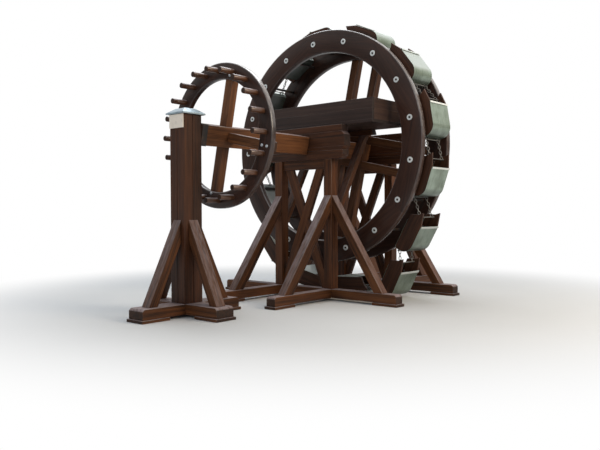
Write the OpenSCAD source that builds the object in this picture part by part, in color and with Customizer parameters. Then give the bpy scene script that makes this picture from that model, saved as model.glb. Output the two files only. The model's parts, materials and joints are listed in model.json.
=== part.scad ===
// Animal driven water wheel of timber: a square shaft on two trestles and an outer post turns a
// peg wheel and a double ring wheel. A loop of buckets on chains hangs over the ring wheel and
// tips its water into a box trough that reaches in between the rings.
// All sizes in millimetres. Z is up, the shaft runs along Y, and Y = 0 is the middle of the length.

/* [Layout] */
// Height of the shaft centre above the ground
shaft_z = 2500; // [2300:2700]
// Outer post centre to near trestle centre
post_to_trestle = 2505; // [2300:2800]
// Near trestle centre to far trestle centre
trestle_gap = 1720; // [1600:1900]
// Turn of the shaft and its wheels, clockwise seen from the outer post
turn = 12.3; // [0:0.1:45]

/* [Ground sills] */
// Height of a sill timber
sill_h = 140; // [100:200]
// Height of the pad under a sill end
pad_h = 40; // [20:60]
// Length of a pad
pad_len = 440; // [300:550]
// Pad edge outside the sill, on the sides and at the end
pad_over = 22; // [15:50]
// Chamfer on the upper edge of a sill end
sill_chamfer = 30; // [10:50]
// Half length of the outer post sill along the shaft
post_sill_half = 840; // [800:1000]
// Half length of the outer post sill across the shaft
post_cross_half = 770; // [740:1000]
// Width of the outer post sills
post_sill_w = 300; // [260:330]
// Half length of a trestle cross sill
cross_sill_half = 1815; // [1600:2000]
// Width of the trestle sills
sill_w = 170; // [140:200]
// Reach of a long sill from its trestle centre
long_sill_reach = 1400; // [1200:1500]

/* [Outer post] */
// Width of the post across the shaft
post_side = 290; // [240:320]
// Depth of the post along the shaft
post_depth = 310; // [260:330]
// Height of the post top above the ground
post_top = 2735; // [2600:2850]
// Depth of the joint lines on the post faces
seam_depth = 5; // [2:10]
// Width of the joint lines on the post faces
seam_w = 8; // [4:12]
// Overhang of the metal cap
cap_over = 40; // [20:60]
// Height of the cap rim
cap_rim = 22; // [10:40]
// Height of the cap pyramid
cap_rise = 62; // [30:100]
// Half width of the flat top of the cap
cap_flat = 95; // [60:120]
// Height of the plain plate on the post
plaque_h = 185; // [120:220]
// Gap between the plate and the cap
plaque_gap = 4; // [2:20]
// Thickness of the plain plate
plaque_t = 12; // [5:20]
// Depth of the bearing hole in the post
post_bore_depth = 215; // [150:240]

/* [Outer post struts] */
// Height of the strut head on the post face
post_strut_top = 1310; // [1100:1500]
// Outer edge of the strut foot from the post centre
post_strut_foot = 690; // [560:760]
// Length of the strut foot on its sill
post_strut_seat = 140; // [100:180]
// Width of a post strut
post_strut_w = 160; // [120:180]

/* [Trestles] */
// Side of a trestle post
leg_side = 160; // [140:200]
// Trestle post centre from the shaft line
leg_x = 530; // [450:650]
// Height of the trestle post tops
leg_top = 2245; // [2100:2350]
// Height of the head rail
rail_h = 150; // [100:200]
// Thickness of the head rail
rail_t = 90; // [60:120]
// Width of a crossed brace
brace_w = 150; // [80:150]
// Thickness of a crossed brace
brace_t = 70; // [40:90]
// Centre of a crossed brace at the head rail
brace_head_x = 330; // [250:380]
// Centre of a crossed brace at the sill
brace_foot_x = 450; // [350:480]
// Width of a trestle strut
strut_w = 140; // [100:160]
// Height of the trestle strut heads
strut_top = 1670; // [1400:1800]
// Outer edge of a lengthwise strut foot from the trestle centre
strut_foot_y = 1180; // [1000:1300]
// Length of a lengthwise strut foot
strut_seat_y = 200; // [150:240]
// Outer edge of a sideways strut foot from the shaft line
strut_foot_x = 1565; // [1300:1650]
// Length of a sideways strut foot
strut_seat_x = 160; // [120:200]

/* [Bearing timbers] */
// Depth of the bearing timbers along the shaft
stack_d = 160; // [130:220]
// Height of the bolster on the trestle posts
bolster_h = 138; // [100:180]
// Half length of the bolster
bolster_half = 835; // [750:900]
// Height of the block that holds the shaft journal
block_h = 232; // [210:280]
// Height of the board between the bolster and the journal block
bearing_board_h = 58; // [40:80]
// Half length of the journal block
block_half = 865; // [750:900]
// Height of the cap timber
cap_timber_h = 102; // [80:140]
// Half length of the cap timber
cap_timber_half = 812; // [700:900]
// Step of the shaped ends of the bearing timbers
end_step = 60; // [30:90]

/* [Shaft] */
// Side of the square shaft
shaft_side = 290; // [250:330]
// Diameter of the journals in the bearing blocks
journal_d = 205; // [160:220]
// Diameter of the end pin in the outer post
pin_d = 110; // [80:140]
// Radial play of a turning journal
play = 0.05; // [0.02:0.01:0.1]
// Gap between a turning shoulder and a fixed face
shoulder_gap = 8; // [5:15]
// Length of the round tail behind the far shoulder
shaft_tail = 60; // [40:100]
// Width of the iron band at the shaft end
band_w = 95; // [60:120]
// Thickness of the iron band
band_t = 6; // [4:10]

/* [Peg wheel] */
// Distance of the peg wheel front face from the outer post centre
peg_wheel_y = 610; // [500:800]
// Thickness of the peg wheel rim
peg_rim_t = 85; // [60:110]
// Outer radius of the peg wheel
peg_rim_r = 1040; // [950:1100]
// Inner radius of the peg wheel
peg_rim_inner = 805; // [750:850]
// Number of pegs
peg_count = 20; // [16:24]
// Radius of the peg circle
peg_circle = 921; // [880:960]
// Peg diameter
peg_d = 80; // [60:90]
// Peg length before the rim face
peg_len = 256; // [180:300]
// Chamfer at the tip of a peg
peg_chamfer = 8; // [3:12]
// Angle of the first peg from the vertical, clockwise
peg_phase = 0.8; // [-20:0.1:20]
// Width of a peg wheel spoke
spoke_w = 140; // [100:160]
// Depth of a peg wheel spoke along the shaft
spoke_d = 125; // [90:150]
// Depth of the seat of a spoke in the rim
spoke_seat = 45; // [20:60]
// Wood left outside the end of a spoke
spoke_end = 40; // [20:80]
// Radius of the rounded outer edges of the rims
edge_r = 14; // [6:25]
// Bolt head diameter on the peg wheel
bolt_d = 46; // [30:60]
// Bolt head height on the peg wheel
bolt_h = 16; // [8:25]
// Radius of the bolts on the upright spokes
bolt_circle = 865; // [840:900]
// Radius of the inner bolts on the level spokes
bolt_inner = 872; // [840:890]
// Radius of the outer bolts on the level spokes
bolt_outer = 965; // [940:1000]
// Radius of the bolt on the lower spoke
bolt_low = 835; // [825:900]
// Angle of the top bolt from the middle of its spoke
bolt_turn = 3; // [0:0.5:4]

/* [Ring wheel] */
// Outer radius of the two rings
ring_r = 1950; // [1850:2050]
// Inner radius of the two rings
ring_inner = 1576; // [1500:1650]
// Thickness of a ring
ring_t = 100; // [80:120]
// Clear distance between the rings
ring_gap = 660; // [600:720]
// Number of cross pins
pin_count = 17; // [16:18]
// Radius of the pin circle
pin_circle = 1760; // [1700:1800]
// Diameter of a cross pin
cross_pin_d = 40; // [30:60]
// Angle of the first pin from the vertical, clockwise
pin_phase = -6; // [-20:0.1:20]
// Washer diameter
washer_d = 92; // [80:120]
// Washer hole diameter
washer_hole = 38; // [20:60]
// Washer thickness
washer_t = 9; // [4:15]
// Half spacing of the paired arms
arm_offset = 225; // [180:260]
// Width of an arm
arm_w = 140; // [110:144]
// Depth of an arm along the shaft
arm_d = 150; // [110:180]
// Depth of the seat of an arm in the back ring
arm_seat = 60; // [30:70]
// Half length of a wedge beside the shaft
wedge_half = 70; // [50:90]
// Radius reached by the arm ends
arm_reach = 1870; // [1800:1950]

/* [Trough] */
// Left end of the trough
trough_x0 = -880; // [-1000:-600]
// Right end of the trough
trough_x1 = 1340; // [1000:1400]
// Front face of the trough from the near trestle centre
trough_y0 = 0; // [-50:100]
// Length of the trough along the shaft
trough_len = 965; // [800:1050]
// Height of the trough
trough_h = 370; // [300:420]
// Board thickness of the trough
board_t = 45; // [30:60]
// Height of the trough bearer
bearer_h = 85; // [60:110]
// Thickness of the trough bearer
bearer_t = 110; // [80:140]
// Half length of the trough bearer
bearer_half = 730; // [600:800]
// How much further the lower edge of the trough bearer reaches at each end
bearer_flare = 25; // [0:60]
// Half width of the notch in the bearer over the shaft
notch_half = 240; // [220:300]
// Depth of the notch in the bearer
notch_h = 40; // [30:60]
// Height of the knee brace foot on the trestle post
knee_foot = 1175; // [1000:1400]
// Width of a knee brace
knee_w = 130; // [90:150]
// Height of the knee brace foot face
knee_seat = 190; // [140:240]

/* [Buckets] */
// Angle between buckets on the wheel
bucket_step = 28.2; // [26:0.1:30]
// Angle of the lowest bucket that lies on the right of the wheel
bucket_start = -18.4; // [-25:0.1:-10]
// Bucket width along the shaft
bucket_w = 530; // [480:560]
// Bucket depth inside the chain line
bucket_in = 139.7; // [125:0.1:150]
// Bucket depth outside the chain line
bucket_out = 130; // [100:150]
// Play between the buckets and the cross pins they ride on
bucket_play = 0.3; // [0.1:0.1:5]
// Mouth edge of the sheet from the bucket centre
mouth_t = 245; // [200:280]
// Bottom of the bucket from its centre
bottom_t = 270; // [240:300]
// Radius of the outer bottom corner
bottom_r = 180; // [120:180]
// Reach of the side boards past the bucket centre
board_reach = 450; // [420:480]
// Outward place of the side board tip
board_tip = 62; // [30:90]
// Reach of the side boards on the chain line
board_mid = 392; // [370:410]
// Reach of the side boards on the inner side
board_inner = 330; // [300:350]
// Cut of the inner bottom corner of the bucket
bottom_cut = 34; // [20:50]
// Side board thickness
side_t = 32; // [25:40]
// Sheet thickness as drawn
sheet_t = 5; // [3:8]
// Height of the folded edge at the mouth
fold_h = 12; // [8:20]
// Length of the folded edge at the mouth
fold_len = 30; // [20:45]

/* [Chains] */
// Rod diameter
rod_d = 18; // [12:25]
// Distance of the mouth rod from the bucket centre
mouth_rod = 345; // [300:380]
// Distance of the bottom rod from the bucket centre
bottom_rod = 298; // [290:310]
// Distance of the bottom rod inside the chain line
bottom_rod_in = 75; // [60:90]
// Distance of an eye from its chain strand
eye_side = 35; // [30:45]
// Height of an eye
eye_h = 32; // [26:40]
// Reach of an eye past the bottom rod
eye_reach = 12; // [10:20]
// Reach of the bottom rod past a chain strand
rod_reach = 45; // [42:50]
// Thickness of the eyes that hold the bottom rod
eye_t = 14; // [8:20]
// Distance of a chain strand from the side board
strand_in = 55; // [30:90]
// Links in one strand
link_count = 4; // [3:8]
// Thickness of the link bar
link_bar = 10; // [8:14]
// Width of a link
link_w = 46; // [36:60]
// Overlap of neighbouring links
link_lap = 19; // [15:19]

/* [Hidden] */
cut_past = 10;
sill_top = sill_h + pad_h;
y_span = post_sill_half + pad_over + post_to_trestle + trestle_gap + long_sill_reach + pad_over;
post_y = -y_span / 2 + post_sill_half + pad_over;
near_y = post_y + post_to_trestle;
far_y = near_y + trestle_gap;
wheel_y = (near_y + far_y) / 2;
front_ring_y = wheel_y - ring_gap / 2 - ring_t;
back_ring_y = wheel_y + ring_gap / 2;
arm_y = back_ring_y + ring_t - arm_seat;
peg_y = post_y + peg_wheel_y;
spoke_y = peg_y + peg_rim_t - spoke_seat;
block_z = leg_top + bolster_h + bearing_board_h;
stack_top = block_z + block_h + cap_timber_h;
trough_y = near_y + trough_y0;
bearer_y = trough_y + trough_len - bearer_t;
shaft_y0 = post_y + post_depth / 2 + shoulder_gap;
shaft_y1 = far_y + stack_d / 2 + shoulder_gap + shaft_tail;
chain_r = pin_circle + cross_pin_d / 2 + bucket_play + bucket_in;
arm_half = sqrt(arm_reach * arm_reach - arm_offset * arm_offset);
fine = 144;
round_n = 48;

// Buckets that hang free below the wheel: x, height from the shaft, angle of the mouth direction
hanging = [[1598, -1487, 61.4], [1245, -2223, 64], [370, -2325, 2], [-560, -2265, -13], [-1380, -1740, -50]];
on_wheel = 9;
bucket_count = on_wheel + len(hanging);

// Helpers

// Solid whose outline lies in X and Z, between two places along Y
module along_y(y0, y1) {
    translate([0, y1, 0])
        rotate([90, 0, 0])
            linear_extrude(height = y1 - y0)
                children();
}

// Solid whose outline lies in Y and Z, between two places along X
module along_x(x0, x1) {
    translate([x0, 0, 0])
        rotate([90, 0, 90])
            linear_extrude(height = x1 - x0)
                children();
}

// Round bar along Y at a place in X and Z
module bar_y(x, z, y0, y1, d, n) {
    translate([x, y1, z])
        rotate([90, 0, 0])
            cylinder(h = y1 - y0, d = d, $fn = n);
}

// Box given by its two corners
module box(low, high) {
    translate(low)
        cube(high - low);
}

// The turning pieces, drawn upright around the shaft line and turned to their place
module turned() {
    translate([0, 0, shaft_z])
        rotate([0, turn, 0])
            children();
}

// Point on a circle around the shaft line, angle clockwise from the vertical
function ring_point(r, a) = [r * sin(a), r * cos(a)];

// Children on both trestles, the far one as the mirror image of the near one
module both_trestles() {
    translate([0, near_y, 0])
        children();
    translate([0, far_y, 0])
        mirror([0, 1, 0])
            children();
}

// Children at the left and right side
module both_sides() {
    children();
    mirror([1, 0, 0])
        children();
}

// Sill timber along X with chamfered upper ends
module sill_along_x(half, w) {
    along_y(-w / 2, w / 2)
        polygon([
            [-half, pad_h],
            [half, pad_h],
            [half, sill_top - sill_chamfer],
            [half - sill_chamfer, sill_top],
            [-half + sill_chamfer, sill_top],
            [-half, sill_top - sill_chamfer]
        ]);
}

// Outline of a sill end in Y and Z that runs from y1 outward to y0, with a chamfered end
module sill_end_outline(y0, y1) {
    polygon([
        [y0, pad_h],
        [y1, pad_h],
        [y1, sill_top],
        [y0 + sill_chamfer, sill_top],
        [y0, sill_top - sill_chamfer]
    ]);
}

// Outline of a leaning strut between an upright face and the sill top
module strut_outline(face, head, foot, seat) {
    slope = (head - sill_top) / (foot - face);
    drop = seat * slope;
    polygon([
        [foot, sill_top],
        [face, head],
        [face, head - drop],
        [foot - seat, sill_top]
    ]);
}

// Outer post and its base

module post_long_sill() {
    color("saddlebrown")
        translate([0, post_y, 0])
            difference() {
                rotate([0, 0, 90])
                    sill_along_x(post_sill_half, post_sill_w);
                box([-post_sill_w / 2, -post_sill_w / 2, pad_h + sill_h / 2],
                    [post_sill_w / 2, post_sill_w / 2, sill_top + cut_past]);
            }
}

module post_cross_sill() {
    color("saddlebrown")
        translate([0, post_y, 0])
            difference() {
                sill_along_x(post_cross_half, post_sill_w);
                box([-post_sill_w / 2, -post_sill_w / 2, pad_h - 10],
                    [post_sill_w / 2, post_sill_w / 2, pad_h + sill_h / 2]);
            }
}

module post_pads() {
    half_w = post_sill_w / 2 + pad_over;
    color("saddlebrown")
        translate([0, post_y, 0])
            for (a = [0 : 90 : 270], e = [(a % 180 == 0 ? post_cross_half : post_sill_half) + pad_over])
                rotate([0, 0, a])
                    box([e - pad_len, -half_w, 0], [e, half_w, pad_h]);
}

// Distance of a post face from the post centre, at a quarter turn from the +X side
function post_face(a) = (a % 180 == 0 ? post_side : post_depth) / 2;

module post() {
    face_y = post_y + post_depth / 2;
    color("sienna")
        difference() {
            translate([0, post_y, 0])
                difference() {
                    box([-post_side / 2, -post_depth / 2, sill_top], [post_side / 2, post_depth / 2, post_top]);
                    for (a = [0 : 90 : 270])
                        rotate([0, 0, a])
                            box([post_face(a) - seam_depth, -seam_w / 2, sill_top - 1],
                                [post_face(a) + 1, seam_w / 2, post_top + 1]);
                }
            bar_y(0, shaft_z, face_y - post_bore_depth, face_y + 10, pin_d + 2 * play, round_n);
        }
}

module post_struts() {
    color("saddlebrown")
        translate([0, post_y, 0])
            for (a = [0 : 90 : 270])
                rotate([0, 0, a])
                    along_y(-post_strut_w / 2, post_strut_w / 2)
                        strut_outline(post_face(a), post_strut_top, post_strut_foot, post_strut_seat);
}

// Side view of the cap: an upright rim under a slope to a flat top
module cap_outline(half) {
    polygon([
        [-half, 0],
        [half, 0],
        [half, cap_rim],
        [cap_flat, cap_rim + cap_rise],
        [-cap_flat, cap_rim + cap_rise],
        [-half, cap_rim]
    ]);
}

module post_cap() {
    ex = post_side / 2 + cap_over;
    ey = post_depth / 2 + cap_over;
    color("lightsteelblue")
        translate([0, post_y, post_top])
            intersection() {
                along_y(-ey, ey)
                    cap_outline(ex);
                along_x(-ex, ex)
                    cap_outline(ey);
            }
}

module post_plate() {
    color("wheat")
        translate([0, post_y - post_depth / 2, post_top - plaque_gap])
            box([-post_side / 2, -plaque_t, -plaque_h], [post_side / 2, 0, 0]);
}

// Trestles

module trestle_cross_sills() {
    color("saddlebrown")
        both_trestles()
            sill_along_x(cross_sill_half, sill_w);
}

module trestle_long_sills() {
    color("saddlebrown")
        both_trestles()
            both_sides()
                along_x(leg_x - sill_w / 2, leg_x + sill_w / 2)
                    sill_end_outline(-long_sill_reach, -sill_w / 2);
}

module trestle_pads() {
    half_w = sill_w / 2 + pad_over;
    color("saddlebrown")
        both_trestles()
            both_sides() {
                box([cross_sill_half + pad_over - pad_len, -half_w, 0],
                    [cross_sill_half + pad_over, half_w, pad_h]);
                box([leg_x - half_w, -long_sill_reach - pad_over, 0],
                    [leg_x + half_w, -long_sill_reach - pad_over + pad_len, pad_h]);
            }
}

module trestle_posts() {
    s = leg_side / 2;
    color("sienna")
        both_trestles()
            both_sides()
                box([leg_x - s, -s, sill_top], [leg_x + s, s, leg_top]);
}

module head_rails() {
    inner = leg_x - leg_side / 2;
    color("sienna")
        both_trestles()
            box([-inner, -rail_t / 2, leg_top - rail_h], [inner, rail_t / 2, leg_top]);
}

// Outline of one crossed brace: it rises from one side at the sill to the other at the head rail
module brace_outline(s) {
    inner = leg_x - leg_side / 2;
    top = leg_top - rail_h;
    rise = top - sill_top;
    run = brace_head_x + brace_foot_x;
    half = brace_w / 2 * sqrt(run * run + rise * rise) / rise;
    intersection() {
        polygon([
            [s * (brace_foot_x - half), sill_top],
            [s * (brace_foot_x + half), sill_top],
            [s * (-brace_head_x + half), top],
            [s * (-brace_head_x - half), top]
        ]);
        translate([-inner, sill_top])
            square([2 * inner, rise]);
    }
}

// A brace on both trestles, cut to half its thickness where the other one crosses it
module brace(s, y0, y1) {
    color("saddlebrown")
        both_trestles()
            difference() {
                along_y(-brace_t / 2, brace_t / 2)
                    brace_outline(s);
                along_y(y0, y1)
                    brace_outline(-s);
            }
}

module rising_braces() {
    brace(1, -brace_t, 0);
}

module falling_braces() {
    brace(-1, 0, brace_t);
}

module length_struts() {
    color("saddlebrown")
        both_trestles()
            both_sides()
                along_x(leg_x - strut_w / 2, leg_x + strut_w / 2)
                    mirror([1, 0])
                        strut_outline(leg_side / 2, strut_top, strut_foot_y, strut_seat_y);
}

module side_struts() {
    color("saddlebrown")
        both_trestles()
            both_sides()
                along_y(-strut_w / 2, strut_w / 2)
                    strut_outline(leg_x + leg_side / 2, strut_top, strut_foot_x, strut_seat_x);
}

// Bearing timbers on the trestle posts

module bolsters() {
    color("peru")
        both_trestles()
            along_y(-stack_d / 2, stack_d / 2)
                polygon([
                    [-bolster_half + end_step, leg_top],
                    [bolster_half - end_step, leg_top],
                    [bolster_half, leg_top + end_step],
                    [bolster_half, leg_top + bolster_h],
                    [-bolster_half, leg_top + bolster_h],
                    [-bolster_half, leg_top + end_step]
                ]);
}

// Bores of both journals
module journal_bores() {
    for (y = [near_y, far_y])
        bar_y(0, shaft_z, y - stack_d / 2 - 1, y + stack_d / 2 + 1, journal_d + 2 * play, round_n);
}

module bearing_boards() {
    z0 = leg_top + bolster_h;
    color("peru")
        difference() {
            both_trestles()
                along_y(-stack_d / 2, stack_d / 2)
                    polygon([
                        [-block_half + end_step, z0],
                        [block_half - end_step, z0],
                        [block_half, block_z],
                        [-block_half, block_z]
                    ]);
            journal_bores();
        }
}

module journal_blocks() {
    z1 = block_z + block_h;
    color("peru")
        difference() {
            both_trestles()
                along_y(-stack_d / 2, stack_d / 2)
                    polygon([
                        [-block_half, block_z],
                        [block_half, block_z],
                        [block_half, z1 - end_step],
                        [block_half - end_step, z1],
                        [-block_half + end_step, z1],
                        [-block_half, z1 - end_step]
                    ]);
            journal_bores();
        }
}

module cap_timbers() {
    z0 = stack_top - cap_timber_h;
    color("peru")
        both_trestles()
            box([-cap_timber_half, -stack_d / 2, z0], [cap_timber_half, stack_d / 2, stack_top]);
}

// Trough

module trough_floor() {
    color("chocolate")
        box([trough_x0, trough_y, stack_top], [trough_x1, trough_y + trough_len, stack_top + board_t]);
}

module trough_sides() {
    z0 = stack_top + board_t;
    z1 = stack_top + trough_h;
    color("chocolate") {
        box([trough_x0, trough_y, z0], [trough_x1, trough_y + board_t, z1]);
        box([trough_x0, trough_y + trough_len - board_t, z0], [trough_x1, trough_y + trough_len, z1]);
    }
}

module trough_ends() {
    z0 = stack_top + board_t;
    z1 = stack_top + trough_h;
    y0 = trough_y + board_t;
    y1 = trough_y + trough_len - board_t;
    color("chocolate") {
        box([trough_x0, y0, z0], [trough_x0 + board_t, y1, z1]);
        box([trough_x1 - board_t, y0, z0], [trough_x1, y1, z1]);
    }
}

module trough_bearer() {
    color("peru")
        along_y(bearer_y, bearer_y + bearer_t)
            polygon([
                [-bearer_half, stack_top],
                [bearer_half, stack_top],
                [bearer_half + bearer_flare, stack_top - bearer_h],
                [notch_half, stack_top - bearer_h],
                [notch_half, stack_top - bearer_h + notch_h],
                [-notch_half, stack_top - bearer_h + notch_h],
                [-notch_half, stack_top - bearer_h],
                [-bearer_half - bearer_flare, stack_top - bearer_h]
            ]);
}

module knee_braces() {
    face = near_y + leg_side / 2;
    top = stack_top - bearer_h;
    lean = (bearer_y - face) / (top - knee_foot - knee_seat);
    color("saddlebrown")
        both_sides()
            along_x(leg_x - knee_w / 2, leg_x + knee_w / 2)
                polygon([
                    [face, knee_foot],
                    [face, knee_foot + knee_seat],
                    [bearer_y, top],
                    [bearer_y + min(knee_seat * lean, bearer_t), top]
                ]);
}

// Buckets and their chains

// Centre and mouth angle of each bucket, in order from the lowest one on the right over the top
function bucket_place(i) =
    i < on_wheel
    ? [chain_r * cos(bucket_start + i * bucket_step), chain_r * sin(bucket_start + i * bucket_step),
        bucket_start + i * bucket_step + 90]
    : hanging[bucket_count - 1 - i];

// Point of a bucket: t along the chain towards the mouth, r outward
function bucket_point(p, t, r) = [
    p[0] + t * cos(p[2]) + r * sin(p[2]),
    p[1] + t * sin(p[2]) - r * cos(p[2])
];

// Points of the bent sheet from the outer mouth edge round the bottom to the inner mouth edge
function sheet_line(s, t_mouth) = concat(
    [[t_mouth, bucket_out - s]],
    [for (a = [90 : 15 : 180])
        [-bottom_t + bottom_r + (bottom_r - s) * cos(a), bucket_out - bottom_r + (bottom_r - s) * sin(a)]],
    [[-bottom_t + s, -bucket_in + bottom_cut], [-bottom_t + bottom_cut, -bucket_in + s],
        [t_mouth, -bucket_in + s]]
);

// Places the children, drawn in t and r, in the plane of bucket i
module in_bucket(i, y0, y1) {
    p = bucket_place(i);
    translate([p[0], 0, shaft_z + p[1]])
        rotate([0, -p[2], 0])
            along_y(y0, y1)
                mirror([0, 1])
                    children();
}

module bucket_boards() {
    y0 = wheel_y - bucket_w / 2;
    y1 = wheel_y + bucket_w / 2;
    color("saddlebrown")
        for (i = [0 : bucket_count - 1])
            for (y = [y0, y1 - side_t])
                in_bucket(i, y, y + side_t)
                    polygon(concat(
                        [[board_reach, board_tip], [mouth_t, bucket_out - sheet_t]],
                        [for (q = sheet_line(sheet_t, mouth_t)) if (q[0] < mouth_t) q],
                        [[board_inner, -bucket_in + sheet_t], [board_mid, 0]]
                    ));
}

module bucket_sheets() {
    outer = sheet_line(0, mouth_t);
    inner = sheet_line(sheet_t, mouth_t);
    n = len(inner);
    color("lightgray")
        for (i = [0 : bucket_count - 1])
            in_bucket(i, wheel_y - bucket_w / 2, wheel_y + bucket_w / 2)
                polygon(concat(
                    [[mouth_t, bucket_out + fold_h], [mouth_t - fold_len, bucket_out + fold_h],
                        [mouth_t - fold_len, bucket_out]],
                    [for (k = [1 : n - 1]) outer[k]],
                    [for (k = [n - 1 : -1 : 0]) inner[k]]
                ));
}

// One link: a rectangular ring lying flat or on edge
module link(len, flat) {
    rotate([flat ? 0 : 90, 0, 0])
        difference() {
            translate([-len / 2, -link_w / 2, -link_bar / 2])
                cube([len, link_w, link_bar]);
            translate([-len / 2 + link_bar, -link_w / 2 + link_bar, -link_bar])
                cube([len - 2 * link_bar, link_w - 2 * link_bar, 2 * link_bar]);
        }
}

// The two rods and two strands that join the mouth end of bucket a to the bottom of bucket b
module chain_between(a, b) {
    p = bucket_point(bucket_place(a), mouth_rod, 0);
    q = bucket_point(bucket_place(b), -bottom_rod, -bottom_rod_in);
    run = norm(q - p);
    angle = atan2(q[1] - p[1], q[0] - p[0]);
    y0 = wheel_y - bucket_w / 2 + side_t;
    y1 = wheel_y + bucket_w / 2 - side_t;
    pitch = run / link_count;
    bar_y(p[0], shaft_z + p[1], y0, y1, rod_d, 8);
    bar_y(q[0], shaft_z + q[1], y0 + strand_in - rod_reach, y1 - strand_in + rod_reach, rod_d, 8);
    for (y = [y0 + strand_in, y1 - strand_in])
        for (e = [-eye_side, eye_side])
            in_bucket(b, y + e - eye_t / 2, y + e + eye_t / 2)
                translate([-bottom_rod - eye_reach, -bottom_rod_in - eye_h / 2])
                    square([bottom_rod + eye_reach - bottom_t, eye_h]);
    for (y = [y0 + strand_in, y1 - strand_in])
        translate([p[0], y, shaft_z + p[1]])
            rotate([0, -angle, 0])
                for (k = [0 : link_count - 1])
                    translate([(k + 0.5) * pitch, 0, 0])
                        link(pitch + link_lap, k % 2 == 0);
}

module bucket_chain() {
    color("silver")
        for (i = [0 : bucket_count - 1])
            chain_between(i, (i + 1) % bucket_count);
}

// Shaft and peg wheel

module shaft() {
    s = shaft_side / 2;
    near_face = near_y - stack_d / 2;
    far_face = far_y - stack_d / 2;
    color("sienna")
        turned() {
            box([-s, shaft_y0, -s], [s, near_face - shoulder_gap, s]);
            box([-s, near_y + stack_d / 2 + shoulder_gap, -s], [s, far_face - shoulder_gap, s]);
            bar_y(0, 0, post_y + post_depth / 2 - post_bore_depth + shoulder_gap, shaft_y0, pin_d, round_n);
            bar_y(0, 0, near_face - shoulder_gap, near_y + stack_d / 2 + shoulder_gap, journal_d, round_n);
            bar_y(0, 0, far_face - shoulder_gap, shaft_y1, journal_d, round_n);
        }
}

module shaft_band() {
    s = shaft_side / 2;
    color("dimgray")
        turned()
            difference() {
                box([-s - band_t, shaft_y0, -s - band_t], [s + band_t, shaft_y0 + band_w, s + band_t]);
                box([-s, shaft_y0 - 1, -s], [s, shaft_y0 + band_w + 1, s]);
            }
}

// Flat rim about the shaft line with rounded outer edges
module rim(r_in, r_out, y, t) {
    e = edge_r;
    translate([0, y + t, 0])
        rotate([90, 0, 0])
            rotate_extrude($fn = fine)
                polygon([
                    [r_in, 0],
                    [r_out - e, 0],
                    [r_out - 0.29 * e, 0.29 * e],
                    [r_out, e],
                    [r_out, t - e],
                    [r_out - 0.29 * e, t - 0.29 * e],
                    [r_out - e, t],
                    [r_in, t]
                ]);
}

// The four spokes, upright
module spokes() {
    for (a = [0 : 90 : 270])
        rotate([0, a, 0])
            box([-spoke_w / 2, spoke_y, shaft_side / 2], [spoke_w / 2, spoke_y + spoke_d, peg_rim_r - spoke_end]);
}

module peg_rim() {
    color("sienna")
        turned()
            difference() {
                rim(peg_rim_inner, peg_rim_r, peg_y, peg_rim_t);
                spokes();
            }
}

module peg_spokes() {
    color("saddlebrown")
        turned()
            spokes();
}

// One peg with a chamfered tip
module peg(x, z) {
    tip = peg_y - peg_len;
    bar_y(x, z, tip + peg_chamfer, peg_y, peg_d, 20);
    translate([x, tip + peg_chamfer, z])
        rotate([90, 0, 0])
            cylinder(h = peg_chamfer, d1 = peg_d, d2 = peg_d - 2 * peg_chamfer, $fn = 20);
}

module pegs() {
    color("burlywood")
        turned()
            for (k = [0 : peg_count - 1])
                let (p = ring_point(peg_circle, peg_phase - turn + k * 360 / peg_count))
                    peg(p[0], p[1]);
}

module peg_bolts() {
    color("silver")
        turned()
            for (q = [[bolt_turn, bolt_circle], [90, bolt_inner], [90, bolt_outer],
                [180, bolt_low], [270, bolt_inner], [270, bolt_outer]])
                let (p = ring_point(q[1], q[0]))
                    bar_y(p[0], p[1], peg_y - bolt_h, peg_y, bolt_d, 16);
}

// Ring wheel

module front_ring() {
    color("sienna")
        turned()
            rim(ring_inner, ring_r, front_ring_y, ring_t);
}

module back_ring() {
    color("sienna")
        turned()
            difference() {
                rim(ring_inner, ring_r, back_ring_y, ring_t);
                upright_pair();
                level_pair();
            }
}

function pin_angle(k) = pin_phase - turn + k * 360 / pin_count;

// A pin end is free on the back when no arm lies over it
function pin_clear(k) =
    let (p = ring_point(pin_circle, pin_angle(k)))
        abs(abs(p[0]) - arm_offset) > (arm_w + washer_d) / 2 + 5
        && abs(abs(p[1]) - arm_offset) > (arm_w + washer_d) / 2 + 5;

module cross_pins() {
    color("dimgray")
        turned()
            for (k = [0 : pin_count - 1])
                let (p = ring_point(pin_circle, pin_angle(k)))
                    bar_y(p[0], p[1], front_ring_y + ring_t, back_ring_y, cross_pin_d, 16);
}

module washer_at(p, y) {
    difference() {
        bar_y(p[0], p[1], y, y + washer_t, washer_d, 20);
        bar_y(p[0], p[1], y - 1, y + washer_t + 1, washer_hole, 16);
    }
}

module pin_washers() {
    color("lightgray")
        turned()
            for (k = [0 : pin_count - 1])
                let (p = ring_point(pin_circle, pin_angle(k))) {
                    washer_at(p, front_ring_y - washer_t);
                    if (pin_clear(k))
                        washer_at(p, back_ring_y + ring_t);
                }
}

module pin_ends() {
    color("dimgray")
        turned()
            for (k = [0 : pin_count - 1])
                let (p = ring_point(pin_circle, pin_angle(k))) {
                    bar_y(p[0], p[1], front_ring_y - washer_t - 5, front_ring_y, washer_hole - 8, 8);
                    if (pin_clear(k))
                        bar_y(p[0], p[1], back_ring_y + ring_t, back_ring_y + ring_t + washer_t + 5,
                            washer_hole - 8, 8);
                }
}

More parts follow.
